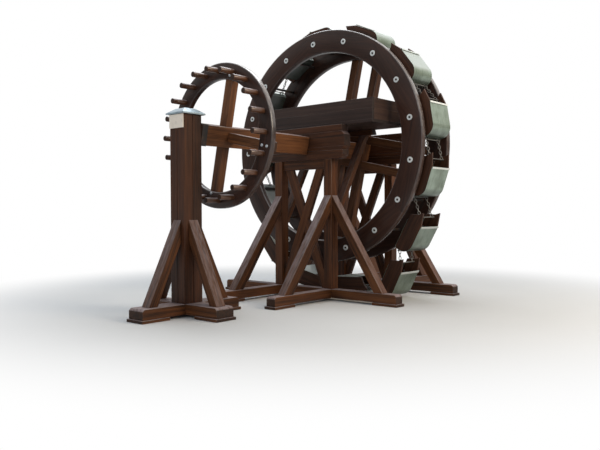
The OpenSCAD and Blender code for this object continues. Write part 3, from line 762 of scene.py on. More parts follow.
class Shop:
    """Collects solids into one mesh, with the attributes that the finishes read."""

    def __init__(self, seed: int) -> None:
        """Starts empty.

        Args:
            seed: Seed of the differences between the timbers.
        """
        self.random = random.Random(seed)
        self.co: list[Vector] = []
        self.faces: list[list[int]] = []
        self.heart: list[Triple] = []
        self.tint: list[float] = []
        self.edge: list[float] = []
        self.cut: list[float] = []

    def grain(self, origin: Vector, along: Vector) -> Grain:
        """A grain whose heart lies at its own place beside the timber's middle line."""
        pith = (self.random.uniform(*PITH_ACROSS), self.random.uniform(*PITH_THROUGH))
        return Grain(origin, along, pith)

    def take(self, bm: bmesh.types.BMesh, grain: Grain, edge_mark: set[int], ends: set[int] | None = None) -> None:
        """Adds a finished solid and empties it.

        Args:
            bm: The solid.
            grain: Its grain.
            edge_mark: Numbers of its rubbed faces, which also take a painted highlight, or of a sheet's faces
                with painted shade.
            ends: Numbers of its end faces, or None for those across the grain.
        """
        bm.verts.index_update()
        bm.faces.index_update()
        base = len(self.co)
        tint = self.random.random()
        along = grain.along.normalized()
        if ends is None:
            ends = {f.index for f in bm.faces if abs(f.normal.dot(along)) > END_GRAIN}
        for v in bm.verts:
            self.co.append(v.co.copy())
            self.heart.append(grain.read(v.co))
            self.tint.append(tint)
        for f in bm.faces:
            self.faces.append([base + v.index for v in f.verts])
            self.edge.append(1.0 if f.index in edge_mark else 0.0)
            self.cut.append(1.0 if f.index in ends else 0.0)
        bm.free()

    @staticmethod
    def soften(
        bm: bmesh.types.BMesh,
        width: float,
        segments: int,
        square: set[bmesh.types.BMFace] | None = None,
    ) -> set[int]:
        """Rounds the sharp edges of a solid.

        Args:
            bm: The solid.
            width: Width of the rounding in metres.
            segments: Faces across the rounding.
            square: Faces whose edges stay sharp.

        Returns:
            Numbers of the faces on the rounding.
        """
        bmesh.ops.recalc_face_normals(bm, faces=bm.faces)
        if width <= 0:
            return set()
        sharp = [e for e in bm.edges if len(e.link_faces) == 2 and e.calc_face_angle() > SOFT_ANGLE]
        edges = [e for e in sharp if not (square or set()).intersection(e.link_faces)]
        made = bmesh.ops.bevel(
            bm, geom=edges, offset=width, offset_type="OFFSET", segments=segments, profile=0.5,
            affect="EDGES", clamp_overlap=True,
        )
        bm.faces.index_update()
        return {f.index for f in made["faces"]}

    @staticmethod
    def walls(bm: bmesh.types.BMesh, ends: list[list[bmesh.types.BMVert]]) -> list[bmesh.types.BMFace]:
        """Joins two matching outlines.

        Args:
            bm: The solid.
            ends: Points of the two outlines.

        Returns:
            The faces between them, in the outline's order.
        """
        faces = []
        for k, (a, b) in enumerate(zip(*ends)):
            after = (k + 1) % len(ends[0])
            faces.append(bm.faces.new((a, b, ends[1][after], ends[0][after])))
        return faces

    def prism(
        self,
        plane: Plane,
        outline: list[Point],
        low: float,
        high: float,
        along: Triple,
        width: float,
        cutters: list[Hole] | None = None,
    ) -> None:
        """Adds a timber with a drawn outline.

        Args:
            plane: Plane of the outline.
            outline: Corners in that plane.
            low: Start of the extrusion.
            high: End of the extrusion.
            along: Direction of the grain.
            width: Width of the rounded edges.
            cutters: Round holes, each as a point on its line, its direction and its radius.
        """
        bm = bmesh.new()
        ends = [[bm.verts.new(self.lift(plane, a, b, c)) for a, b in outline] for c in (low, high)]
        bm.faces.new(ends[0])
        bm.faces.new(ends[1][::-1])
        self.walls(bm, ends)
        edge_mark = self.soften(bm, width, EDGE_FACES)
        middle = sum((v.co for v in bm.verts), Vector()) / len(bm.verts)
        grain = self.grain(middle, Vector(along))
        if cutters:
            bm = bored(bm, cutters)
            # The cut numbers the faces anew, so none of them count as rubbed and highlighted
            edge_mark = set()
        self.take(bm, grain, edge_mark)

    def box(self, low: Triple, high: Triple, along: Triple, width: float) -> None:
        """Adds a square-edged timber between its lowest and its highest corner."""
        self.prism(Plane.XY, oblong(low[:2], high[:2]), low[2], high[2], along, width)

    @staticmethod
    def lift(plane: Plane, a: float, b: float, c: float) -> Vector:
        """A point from an outline's plane, with c along the axis left over."""
        return Vector({Plane.YZ: (c, a, b), Plane.XZ: (a, c, b), Plane.XY: (a, b, c)}[plane])

    def turned_round(self, profile: list[Point], sides: int, place: Point = (0.0, 0.0)) -> None:
        """Adds a round piece about a line along Y, which its grain follows.

        Args:
            profile: Points as radius and Y, from one end on the axis to the other.
            sides: Number of sides.
            place: X and Z of the line.
        """
        bm = bmesh.new()
        x, z = place
        angles = [2 * math.pi * k / sides for k in range(sides)]
        rings: list[list[bmesh.types.BMVert]] = []
        for r, y in profile:
            spots = [(x + r * math.sin(a), y, z + r * math.cos(a)) for a in angles] if r else [(x, y, z)]
            rings.append([bm.verts.new(spot) for spot in spots])
        for p, q in zip(rings, rings[1:]):
            for k in range(sides):
                j = (k + 1) % sides
                if len(p) == 1:
                    bm.faces.new((p[0], q[k], q[j]))
                elif len(q) == 1:
                    bm.faces.new((p[k], p[j], q[0]))
                else:
                    bm.faces.new((p[k], p[j], q[j], q[k]))
        bmesh.ops.recalc_face_normals(bm, faces=bm.faces)
        middle = Vector((x, sum(y for _, y in profile) / len(profile), z))
        self.take(bm, self.grain(middle, Vector((0, 1, 0))), set())

    def felloe(self, inner: float, outer: float, low: float, high: float, sweep: float, width: float) -> None:
        """Adds one curved segment of a ring about the shaft line, level at its middle, with a worn tread that
        also takes a painted highlight.

        Args:
            inner: Inner radius.
            outer: Outer radius.
            low: Front face.
            high: Back face.
            sweep: Angle from end to end, half of it on each side of the top.
            width: Width of the rounded edges.
        """
        steps = round(sweep / FELLOE_STEP)
        angles = [-sweep / 2 + sweep * k / steps for k in range(steps + 1)]
        outline = [(outer * math.sin(a), outer * math.cos(a)) for a in angles]
        outline += [(inner * math.sin(a), inner * math.cos(a)) for a in reversed(angles)]
        bm = bmesh.new()
        ends = [[bm.verts.new(self.lift(Plane.XZ, a, b, y)) for a, b in outline] for y in (low, high)]
        for side in ends:
            for k in range(steps):
                bm.faces.new((side[k], side[k + 1], side[-2 - k], side[-1 - k]))
        walls = self.walls(bm, ends)
        edge_mark = self.soften(bm, width, RIM_EDGE_FACES, {walls[steps], walls[-1]})
        bm.normal_update()
        for face in bm.faces:
            outward = face.calc_center_median()
            outward.y = 0
            if face.normal.dot(outward.normalized()) > TREAD:
                edge_mark.add(face.index)
        centre = Vector((0, (low + high) / 2, (inner + outer) / 2))
        self.take(bm, self.grain(centre, Vector((1, 0, 0))), edge_mark)

    def object(self, name: str, finish: Finish, place: Matrix | None = None) -> bpy.types.Object:
        """Turns what was collected into an object at the origin.

        Args:
            name: Name of the piece.
            finish: Its finish.
            place: A move that is worked into the mesh.

        Returns:
            The object.
        """
        mesh = bpy.data.meshes.new(name)
        mesh.from_pydata([tuple(place @ c) if place else tuple(c) for c in self.co], [], self.faces)
        mesh.update()
        heart = mesh.attributes.new("heart", "FLOAT_VECTOR", "POINT")
        heart.data.foreach_set("vector", [x for h in self.heart for x in h])
        mesh.attributes.new("tint", "FLOAT", "POINT").data.foreach_set("value", self.tint)
        mesh.attributes.new("edge", "FLOAT", "FACE").data.foreach_set("value", self.edge)
        mesh.attributes.new("cut", "FLOAT", "FACE").data.foreach_set("value", self.cut)
        mesh.polygons.foreach_set("use_smooth", [True] * len(mesh.polygons))
        mesh.set_sharp_from_angle(angle=SHARP_ANGLE)
        mesh.materials.append(finish.material())
        return linked(name, mesh)


def bored(bm: bmesh.types.BMesh, cutters: list[Hole]) -> bmesh.types.BMesh:
    """Cuts round holes into a solid.

    Args:
        bm: The solid, which is used up.
        cutters: Holes, each as a point on its line, its direction over the full depth, and its radius.

    Returns:
        The cut solid.
    """
    work = solid_object("work", bm)
    tools = []
    for point, reach, radius in cutters:
        aim = reach.to_track_quat("Z", "X").to_matrix().to_4x4()
        tool = bmesh.new()
        bmesh.ops.create_cone(
            tool, cap_ends=True, segments=HOLE_SIDES, radius1=radius, radius2=radius, depth=reach.length,
            matrix=Matrix.Translation(point + reach / 2) @ aim,
        )
        tools.append(solid_object("cutter", tool))
        cut = work.modifiers.new("bore", "BOOLEAN")
        cut.operation = "DIFFERENCE"
        cut.solver = "EXACT"
        cut.object = tools[-1]
    result = bmesh.new()
    result.from_mesh(settled(work))
    for thing in [work, *tools]:
        bpy.data.objects.remove(thing)
    return result


def settled(source: bpy.types.Object) -> bpy.types.Mesh:
    """The plain mesh of an object with its modifiers worked in.

    Args:
        source: The object.

    Returns:
        A new mesh.
    """
    bpy.context.view_layer.update()
    graph = bpy.context.evaluated_depsgraph_get()
    return bpy.data.meshes.new_from_object(source.evaluated_get(graph), depsgraph=graph)


# Geometry Nodes

# A chain link: roll of the first one, rounding as a share of its width, points on a corner, bar sides
FIRST_LINK_ROLL = 0.35
LINK_ROUNDING = 0.499
LINK_CORNER_POINTS = 3
LINK_BAR_SIDES = 6


class Repeater:
    """A Geometry Nodes tree with named inputs, and the making of a plain mesh from it."""

    def __init__(self, name: str, inputs: dict[str, str]) -> None:
        """Makes the tree's interface.

        Args:
            name: Name of the tree.
            inputs: Socket type of each input beside the geometry, by its name.
        """
        self.tree = bpy.data.node_groups.new(name, "GeometryNodeTree")
        self.graph = Graph(self.tree)
        self.tree.interface.new_socket("Geometry", in_out="INPUT", socket_type="NodeSocketGeometry")
        self.ids: dict[str, str] = {}
        for label, kind in inputs.items():
            made = self.tree.interface.new_socket(label, in_out="INPUT", socket_type=kind)
            self.ids[label] = made.identifier
        self.tree.interface.new_socket("Geometry", in_out="OUTPUT", socket_type="NodeSocketGeometry")
        self.source = self.graph.node("NodeGroupInput")

    def input(self, label: str) -> Expr:
        """One input of the tree, by its name."""
        return Expr(self.graph, self.source.outputs[label])

    def varied(self, instances: Expr) -> Expr:
        """Gives each instance its own lot, which shifts its grain and stain.

        Args:
            instances: The instances.

        Returns:
            The instances with the attribute lot.
        """
        # Inputs 2 and 3 are the limits of a random number
        limits = {2: 0.0, 3: LOT_SPREAD, "Seed": self.input("Seed")}
        lot = self.graph.out("FunctionNodeRandomValue", 1, {"data_type": "FLOAT"}, limits)
        settings = {"data_type": "FLOAT", "domain": "INSTANCE"}
        sockets = {"Geometry": instances, "Name": "lot", "Value": lot}
        return self.graph.out("GeometryNodeStoreNamedAttribute", 0, settings, sockets)

    def close(self, geometry: Expr) -> None:
        """Ends the tree with realized instances, their material and the output.

        Args:
            geometry: What comes out.
        """
        real = self.graph.out("GeometryNodeRealizeInstances", sockets={"Geometry": geometry})
        sockets = {"Geometry": real, "Material": self.input("Material")}
        dressed = self.graph.out("GeometryNodeSetMaterial", sockets=sockets)
        self.graph.node("NodeGroupOutput", None, {0: dressed})

    def run(self, source: bpy.types.Object, name: str, values: dict[str, object]) -> bpy.types.Object:
        """Runs the tree on an object and replaces it by the plain result.

        Args:
            source: The object that brings the geometry. It is removed.
            name: Name of the new piece.
            values: Value of each input.

        Returns:
            The new object.
        """
        modifier = source.modifiers.new("repeat", "NODES")
        modifier.node_group = self.tree
        for label, value in values.items():
            modifier[self.ids[label]] = value
        mesh = settled(source)
        source.modifiers.remove(modifier)
        bpy.data.objects.remove(source)
        mesh.name = name
        return linked(name, mesh)


def radial_tree() -> Repeater:
    """A tree that repeats a piece around the shaft line.

    Returns:
        The tree, with inputs Count, Phase, Height, Seed and Material.
    """
    kinds = {
        "Count": "NodeSocketInt",
        "Phase": "NodeSocketFloat",
        "Height": "NodeSocketFloat",
        "Seed": "NodeSocketInt",
        "Material": "NodeSocketMaterial",
    }
    repeater = Repeater("around_the_shaft", kinds)
    graph = repeater.graph
    place = graph.out("ShaderNodeCombineXYZ", sockets={2: repeater.input("Height")})
    sockets = {"Count": repeater.input("Count"), "Start Location": place, "Offset": (0, 0, 0)}
    points = graph.out("GeometryNodeMeshLine", sockets=sockets)
    index = graph.out("GeometryNodeInputIndex")
    angle = repeater.input("Phase") + index * (2 * math.pi) / repeater.input("Count")
    turn = graph.out("ShaderNodeCombineXYZ", sockets={1: angle})
    sockets = {"Points": points, "Instance": repeater.input("Geometry"), "Rotation": turn}
    repeater.close(repeater.varied(graph.out("GeometryNodeInstanceOnPoints", sockets=sockets)))
    return repeater


def placed_tree() -> Repeater:
    """A tree that puts a piece on each point, turned about Y by the point's attribute lean.

    Returns:
        The tree, with inputs Piece, Seed and Material.
    """
    kinds = {"Piece": "NodeSocketObject", "Seed": "NodeSocketInt", "Material": "NodeSocketMaterial"}
    repeater = Repeater("on_each_point", kinds)
    graph = repeater.graph
    lean = graph.out("GeometryNodeInputNamedAttribute", 0, {"data_type": "FLOAT"}, {"Name": "lean"})
    turn = graph.out("ShaderNodeCombineXYZ", sockets={1: lean})
    piece = graph.out("GeometryNodeObjectInfo", "Geometry", None, {"Object": repeater.input("Piece")})
    sockets = {"Points": repeater.input("Geometry"), "Instance": piece, "Rotation": turn}
    repeater.close(repeater.varied(graph.out("GeometryNodeInstanceOnPoints", sockets=sockets)))
    return repeater


def chain_tree() -> Repeater:
    """A tree that lays chain links along the edges of a mesh, every other one on its side.

    Returns:
        The tree, with inputs Pitch, Length, Width, Bar and Material.
    """
    kinds = {label: "NodeSocketFloat" for label in ("Pitch", "Length", "Width", "Bar")}
    kinds["Material"] = "NodeSocketMaterial"
    repeater = Repeater("chain_along_edges", kinds)
    graph = repeater.graph
    line = graph.out("GeometryNodeMeshToCurve", sockets={"Mesh": repeater.input("Geometry")})
    sockets = {"Curve": line, "Length": repeater.input("Pitch")}
    points = graph.out("GeometryNodeResampleCurve", 0, {"mode": "LENGTH"}, sockets)
    sockets = {"Width": repeater.input("Length"), "Height": repeater.input("Width")}
    frame = graph.out("GeometryNodeCurvePrimitiveQuadrilateral", 0, {"mode": "RECTANGLE"}, sockets)
    sockets = {"Curve": frame, "Radius": repeater.input("Width") * LINK_ROUNDING, "Count": LINK_CORNER_POINTS}
    rounded = graph.out("GeometryNodeFilletCurve", 0, {"mode": "POLY"}, sockets)
    sockets = {"Resolution": LINK_BAR_SIDES, "Radius": repeater.input("Bar")}
    bar = graph.out("GeometryNodeCurvePrimitiveCircle", 0, {"mode": "RADIUS"}, sockets)
    link = graph.out("GeometryNodeCurveToMesh", sockets={"Curve": rounded, "Profile Curve": bar})
    tangent = graph.out("GeometryNodeInputTangent")
    aim = graph.out("FunctionNodeAlignRotationToVector", 0, {"axis": "X"}, {"Vector": tangent})
    side = graph.out("GeometryNodeInputIndex").math("MODULO", 2.0) * (math.pi / 2) + FIRST_LINK_ROLL
    roll = graph.out("ShaderNodeCombineXYZ", sockets={0: side})
    euler = graph.out("FunctionNodeEulerToRotation", sockets={0: roll})
    sockets = {"Rotation": aim, "Rotate By": euler}
    turn = graph.out("FunctionNodeRotateRotation", 0, {"rotation_space": "LOCAL"}, sockets)
    sockets = {"Points": points, "Instance": link, "Rotation": turn}
    repeater.close(graph.out("GeometryNodeInstanceOnPoints", sockets=sockets))
    return repeater


# Fitting


def fit(piece: bpy.types.Object, body: Body, slot: Slot, *nodes: str) -> None:
    """Puts a finished piece on its body.

    Args:
        piece: The piece.
        body: The body it moves with.
        slot: The record's slot that the piece belongs to. It is not used.
        nodes: Frame nodes that it stands for.
    """
    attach(piece, body.value)
    if nodes:
        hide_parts(*nodes)
    LOG.info("%s: %d faces on %s", piece.name, len(piece.data.polygons), body.value)


def wheel_place(layout: Layout) -> Matrix:
    """The move from an upright wheel about the origin to the turned one on the shaft line."""
    return Matrix.Translation((0, 0, layout.shaft_z)) @ Matrix.Rotation(layout.turn, 4, "Y")


def strut_outline(face: float, head: float, foot: float, seat: float, floor: float, side: int) -> list[Point]:
    """Outline of a leaning strut.

    Args:
        face: The upright face that it leans on.
        head: Height where its upper edge meets that face.
        foot: Outer edge of its foot.
        seat: Length of its foot.
        floor: Height of the sill under it.
        side: 1 for a foot at the positive side, -1 for the other.

    Returns:
        The corners.
    """
    slope = (head - floor) / (foot - face)
    corners = [(foot, floor), (face, head), (face, head - seat * slope), (foot - seat, floor)]
    return [(side * a, b) for a, b in corners]


@dataclass
class PostStand:
    """The outer post with its crossed sills, struts, cap and plain plate."""

    layout: Layout = LAYOUT
    half: float = 0.84
    cross_half: float = 0.77
    sill_w: float = 0.3
    side: float = 0.29
    top: float = 2.735
    strut_top: float = 1.31
    strut_foot: float = 0.69
    strut_seat: float = 0.14
    strut_w: float = 0.16
    seam: float = 0.004
    bore: float = 0.055
    bore_depth: float = 0.215
    play: float = 0.0005
    cap_over: float = 0.04
    cap_rim: float = 0.022
    cap_edge: float = 0.004
    cap_rise: float = 0.062
    cap_flat: float = 0.095
    plate_h: float = 0.185
    plate_t: float = 0.012
    plate_gap: float = 0.004

    def build(self) -> None:
        """Builds and fits the pieces."""
        self.sills()
        self.post()
        self.struts()
        self.cap()

    def sills(self) -> None:
        """Crossed sills on their pads."""
        lay = self.layout
        y, w, low, top, c = lay.post_y, self.sill_w / 2, lay.pad_h, lay.sill_top, lay.chamfer
        wood = Shop(11)
        for s in (-1, 1):
            end, shoulder = s * self.cross_half, s * (self.cross_half - c)
            outline = [(end, low), (end, top - c), (shoulder, top), (0.0, top), (0.0, low)]
            wood.prism(Plane.XZ, outline, y - w, y + w, (1, 0, 0), ROUND_HEAVY)
        for s in (-1, 1):
            end, shoulder, inner = y + s * self.half, y + s * (self.half - c), y + s * w
            outline = [(end, low), (end, top - c), (shoulder, top), (inner, top), (inner, low)]
            wood.prism(Plane.YZ, outline, -w, w, (0, 1, 0), ROUND_HEAVY)
        fit(wood.object("post_sills", STAIN), Body.FRAME, Slot.STAINED, "post_long_sill", "post_cross_sill")
        pads = Shop(12)
        half = w + lay.pad_over
        for k in range(4):
            a = k * math.pi / 2
            reach = (self.half if k % 2 else self.cross_half) + lay.pad_over
            corners = turned(oblong((reach - lay.pad_len, -half), (reach, half)), -a)
            board = [(p, y + q) for p, q in corners]
            pads.prism(Plane.XY, board, 0, low, (math.cos(a), math.sin(a), 0), ROUND_BEAM)
        fit(pads.object("post_pad_boards", STAIN), Body.FRAME, Slot.STAINED, "post_pads")

    def post(self) -> None:
        """The post, made up of four squared lengths with a fine gap between them."""
        lay = self.layout
        s, d, g = self.side / 2, lay.post_depth / 2, self.seam / 2
        wood = Shop(13)
        point = Vector((0, lay.post_y + d - self.bore_depth, lay.shaft_z))
        hole = [(point, Vector((0, self.bore_depth + HOLE_OVERRUN, 0)), self.bore + self.play)]
        for sx in (-1, 1):
            for sy in (-1, 1):
                xs = sorted((sx * g, sx * s))
                ys = sorted((lay.post_y + sy * g, lay.post_y + sy * d))
                outline = oblong((xs[0], ys[0]), (xs[1], ys[1]))
                wood.prism(Plane.XY, outline, lay.sill_top, self.top, (0, 0, 1), ROUND_BEAM, hole)
        fit(wood.object("post_timber", STAIN_POST), Body.FRAME, Slot.STAINED, "post")

    def struts(self) -> None:
        """The four struts."""
        lay = self.layout
        wood = Shop(14)
        y, w, fall = lay.post_y, self.strut_w / 2, lay.sill_top - self.strut_top
        for s in (-1, 1):
            face = self.side / 2
            outline = strut_outline(face, self.strut_top, self.strut_foot, self.strut_seat, lay.sill_top, s)
            lean = (s * (self.strut_foot - face), 0, fall)
            wood.prism(Plane.XZ, outline, y - w, y + w, lean, ROUND_BEAM)
            face = lay.post_depth / 2
            outline = strut_outline(face, self.strut_top, self.strut_foot, self.strut_seat, lay.sill_top, s)
            lean = (0, s * (self.strut_foot - face), fall)
            wood.prism(Plane.YZ, [(y + a, b) for a, b in outline], -w, w, lean, ROUND_BEAM)
        fit(wood.object("post_strut_timbers", STAIN), Body.FRAME, Slot.STAINED, "post_struts")

    def cap(self) -> None:
        """The metal cap, a low pyramid on a rim, and the plain plate under it."""
        lay = self.layout
        half_x, half_y = self.side / 2 + self.cap_over, lay.post_depth / 2 + self.cap_over
        edge, flat, rim = self.cap_edge, self.cap_flat, self.top + self.cap_rim
        metal = Shop(15)
        bm = bmesh.new()
        levels = [(half_x, half_y, self.top), (half_x, half_y, rim - edge)]
        levels += [(half_x - edge, half_y - edge, rim), (flat, flat, rim + self.cap_rise)]
        corners = ((-1, -1), (1, -1), (1, 1), (-1, 1))
        rings = []
        for x, y, z in levels:
            rings.append([bm.verts.new((sx * x, lay.post_y + sy * y, z)) for sx, sy in corners])
        bm.faces.new(rings[0][::-1])
        bm.faces.new(rings[-1])
        for p, q in zip(rings, rings[1:]):
            for k in range(4):
                j = (k + 1) % 4
                bm.faces.new((p[k], p[j], q[j], q[k]))
        bmesh.ops.recalc_face_normals(bm, faces=bm.faces)
        metal.take(bm, metal.grain(Vector(), Vector((0, 0, 1))), set())
        fit(metal.object("post_cap_sheet", IRON_CAP), Body.FRAME, Slot.CAP, "post_cap")
        plate = Shop(16)
        face = lay.post_y - lay.post_depth / 2
        high = self.top - self.plate_gap
        low = (-self.side / 2, face - self.plate_t, high - self.plate_h)
        plate.box(low, (self.side / 2, face, high), (1, 0, 0), ROUND_FINE)
        fit(plate.object("post_plain_plate", PLATE_PALE), Body.FRAME, Slot.PLATE, "post_plate")


@dataclass
class Trestles:
    """The two trestles: sills, pads, posts, rails, crossed braces and struts."""

    layout: Layout = LAYOUT
    half: float = 1.815
    sill_w: float = 0.17
    reach: float = 1.4
    rail_h: float = 0.15
    rail_t: float = 0.09
    brace_w: float = 0.15
    brace_t: float = 0.07
    brace_step: float = 0.004
    brace_head: float = 0.33
    brace_foot: float = 0.45
    strut_w: float = 0.14
    strut_top: float = 1.67
    foot_y: float = 1.18
    seat_y: float = 0.2
    foot_x: float = 1.565
    seat_x: float = 0.16
    knee_foot: float = 1.175
    knee_w: float = 0.13
    knee_seat: float = 0.19

    def build(self) -> None:
        """Builds and fits the pieces of both trestles."""
        sills, pads, posts, struts, braces = Shop(21), Shop(22), Shop(23), Shop(24), Shop(25)
        for y, out in ((self.layout.near_y, -1), (self.layout.far_y, 1)):
            self.sills(sills, y, out)
            self.pads(pads, y, out)
            self.posts(posts, y)
            self.struts(struts, y, out)
            self.braces(braces, y)
        for wood, name, finish, *nodes in (
            (sills, "trestle_sills", STAIN, "trestle_cross_sills", "trestle_long_sills"),
            (pads, "trestle_pad_boards", STAIN, "trestle_pads"),
            (posts, "trestle_posts_rails", STAIN_LEG, "trestle_posts", "head_rails"),
            (struts, "trestle_struts", STAIN, "length_struts", "side_struts"),
            (braces, "trestle_braces", STAIN_LEG, "rising_braces", "falling_braces"),
        ):
            fit(wood.object(name, finish), Body.FRAME, Slot.STAINED, *nodes)
        self.knees()

    def sills(self, wood: Shop, y: float, out: int) -> None:
        """Sills of one trestle.

        Args:
            wood: Collects the timbers.
            y: Middle of the trestle.
            out: Direction of the long sills along Y.
        """
        lay = self.layout
        w, half, low, top, c = self.sill_w / 2, self.half, lay.pad_h, lay.sill_top, lay.chamfer
        outline = [(-half, low), (half, low), (half, top - c), (half - c, top)]
        outline += [(c - half, top), (-half, top - c)]
        wood.prism(Plane.XZ, outline, y - w, y + w, (1, 0, 0), ROUND_BEAM)
        end, inner = y + out * self.reach, y + out * w
        outline = [(end, low), (inner, low), (inner, top), (end - out * c, top), (end, top - c)]
        for s in (-1, 1):
            x = s * lay.leg_x
            wood.prism(Plane.YZ, outline, x - w, x + w, (0, 1, 0), ROUND_BEAM)

    def pads(self, wood: Shop, y: float, out: int) -> None:
        """Pads of one trestle.

        Args:
            wood: Collects the boards.
            y: Middle of the trestle.
            out: Direction of the long sills along Y.
        """
        lay = self.layout
        w = self.sill_w / 2 + lay.pad_over
        for s in (-1, 1):
            end = s * (self.half + lay.pad_over)
            xs = sorted((end, end - s * lay.pad_len))
            wood.box((xs[0], y - w, 0), (xs[1], y + w, lay.pad_h), (1, 0, 0), ROUND_BEAM)
            end = y + out * (self.reach + lay.pad_over)
            ys = sorted((end, end - out * lay.pad_len))
            x = s * lay.leg_x
            wood.box((x - w, ys[0], 0), (x + w, ys[1], lay.pad_h), (0, 1, 0), ROUND_BEAM)

    def posts(self, wood: Shop, y: float) -> None:
        """Posts and head rail of one trestle.

        Args:
            wood: Collects the timbers.
            y: Middle of the trestle.
        """
        lay = self.layout
        s = lay.leg_side / 2
        for side in (-1, 1):
            x = side * lay.leg_x
            wood.box((x - s, y - s, lay.sill_top), (x + s, y + s, lay.leg_top), (0, 0, 1), ROUND_HEAVY)
        inner = lay.leg_x - s
        t = self.rail_t / 2
        low = (-inner, y - t, lay.leg_top - self.rail_h)
        wood.box(low, (inner, y + t, lay.leg_top), (1, 0, 0), ROUND_SLIM)

    def struts(self, wood: Shop, y: float, out: int) -> None:
        """Struts of one trestle.

        Args:
            wood: Collects the timbers.
            y: Middle of the trestle.
            out: Direction of the lengthwise struts along Y.
        """
        lay = self.layout
        w, s, fall = self.strut_w / 2, lay.leg_side / 2, lay.sill_top - self.strut_top
        for side in (-1, 1):
            x = side * lay.leg_x
            outline = strut_outline(s, self.strut_top, self.foot_y, self.seat_y, lay.sill_top, out)
            lean = (0, out * (self.foot_y - s), fall)
            wood.prism(Plane.YZ, [(y + a, b) for a, b in outline], x - w, x + w, lean, ROUND_BEAM)
            face = lay.leg_x + s
            outline = strut_outline(face, self.strut_top, self.foot_x, self.seat_x, lay.sill_top, side)
            lean = (side * (self.foot_x - face), 0, fall)
            wood.prism(Plane.XZ, outline, y - w, y + w, lean, ROUND_BEAM)

    def braces(self, wood: Shop, y: float) -> None:
        """Crossed braces of one trestle, halved into each other.

        Args:
            wood: Collects the timbers.
            y: Middle of the trestle.
        """
        lay = self.layout
        inner = lay.leg_x - lay.leg_side / 2
        low, high = lay.sill_top, lay.leg_top - self.rail_h
        rise, run = high - low, self.brace_head + self.brace_foot
        half = self.brace_w / 2 * math.hypot(run, rise) / rise
        t, step = self.brace_t / 2, self.brace_step
        for s, front, back in ((1, y - t + step, y + t), (-1, y - t, y + t - step)):
            corners = [
                (s * (self.brace_foot - half), low),
                (s * min(self.brace_foot + half, inner), low),
                (s * inner, low + max(0.0, (self.brace_foot + half - inner) * rise / run)),
                (s * (half - self.brace_head), high),
                (s * (-half - self.brace_head), high),
            ]
            wood.prism(Plane.XZ, corners, front, back, (s * run, 0, -rise), ROUND_SLIM)

    def knees(self) -> None:
        """Knee braces under the trough bearer."""
        lay, trough = self.layout, Trough()
        face, bearer = lay.near_y + lay.leg_side / 2, trough.bearer_y
        foot, top, w = self.knee_foot, lay.stack_top - trough.bearer_h, self.knee_w / 2
        rise = top - foot - self.knee_seat
        seat = min(self.knee_seat * (bearer - face) / rise, trough.bearer_t)
        outline = [(face, foot), (face, foot + self.knee_seat), (bearer, top), (bearer + seat, top)]
        wood = Shop(26)
        for s in (-1, 1):
            x = s * lay.leg_x
            wood.prism(Plane.YZ, outline, x - w, x + w, (0, bearer - face, rise), ROUND_BEAM)
        fit(wood.object("knee_timbers", STAIN_LEG), Body.FRAME, Slot.STAINED, "knee_braces")


@dataclass
class BearingStacks:
    """The timbers on each trestle that hold the shaft journal."""

    layout: Layout = LAYOUT
    bolster: float = 0.835
    bolster_h: float = 0.138
    block: float = 0.865
    board_h: float = 0.058
    block_h: float = 0.232
    cap: float = 0.812
    step: float = 0.06
    bore: float = 0.1025
    play: float = 0.0006

    def build(self) -> None:
        """Builds and fits the pieces of both stacks."""
        lay = self.layout
        lower, boards, blocks, caps = Shop(31), Shop(34), Shop(32), Shop(33)
        z0, z1, e = lay.leg_top, lay.leg_top + self.bolster_h, self.step
        z2 = z1 + self.board_h
        z3 = z2 + self.block_h
        b, k = self.bolster, self.block
        for y in (lay.near_y, lay.far_y):
            y0, y1 = y - lay.stack_d / 2, y + lay.stack_d / 2
            outline = [(e - b, z0), (b - e, z0), (b, z0 + e), (b, z1), (-b, z1), (-b, z0 + e)]
            lower.prism(Plane.XZ, outline, y0, y1, (1, 0, 0), ROUND_HEAVY)
            start, reach = Vector((0, y0 - HOLE_OVERRUN, lay.shaft_z)), lay.stack_d + 2 * HOLE_OVERRUN
            hole = [(start, Vector((0, reach, 0)), self.bore + self.play)]
            outline = [(e - k, z1), (k - e, z1), (k, z2), (-k, z2)]
            boards.prism(Plane.XZ, outline, y0, y1, (1, 0, 0), ROUND_BEAM, hole)
            outline = [(-k, z2), (k, z2), (k, z3 - e), (k - e, z3), (e - k, z3), (-k, z3 - e)]
            blocks.prism(Plane.XZ, outline, y0, y1, (1, 0, 0), ROUND_HEAVY, hole)
            caps.box((-self.cap, y0, z3), (self.cap, y1, lay.stack_top), (1, 0, 0), ROUND_HEAVY)
        for wood, name, node in (
            (lower, "bolster_timbers", "bolsters"),
            (boards, "bearing_board_pieces", "bearing_boards"),
            (blocks, "journal_timbers", "journal_blocks"),
            (caps, "cap_timber_pieces", "cap_timbers"),
        ):
            fit(wood.object(name, STAIN_BEARING), Body.FRAME, Slot.BEARING, node)


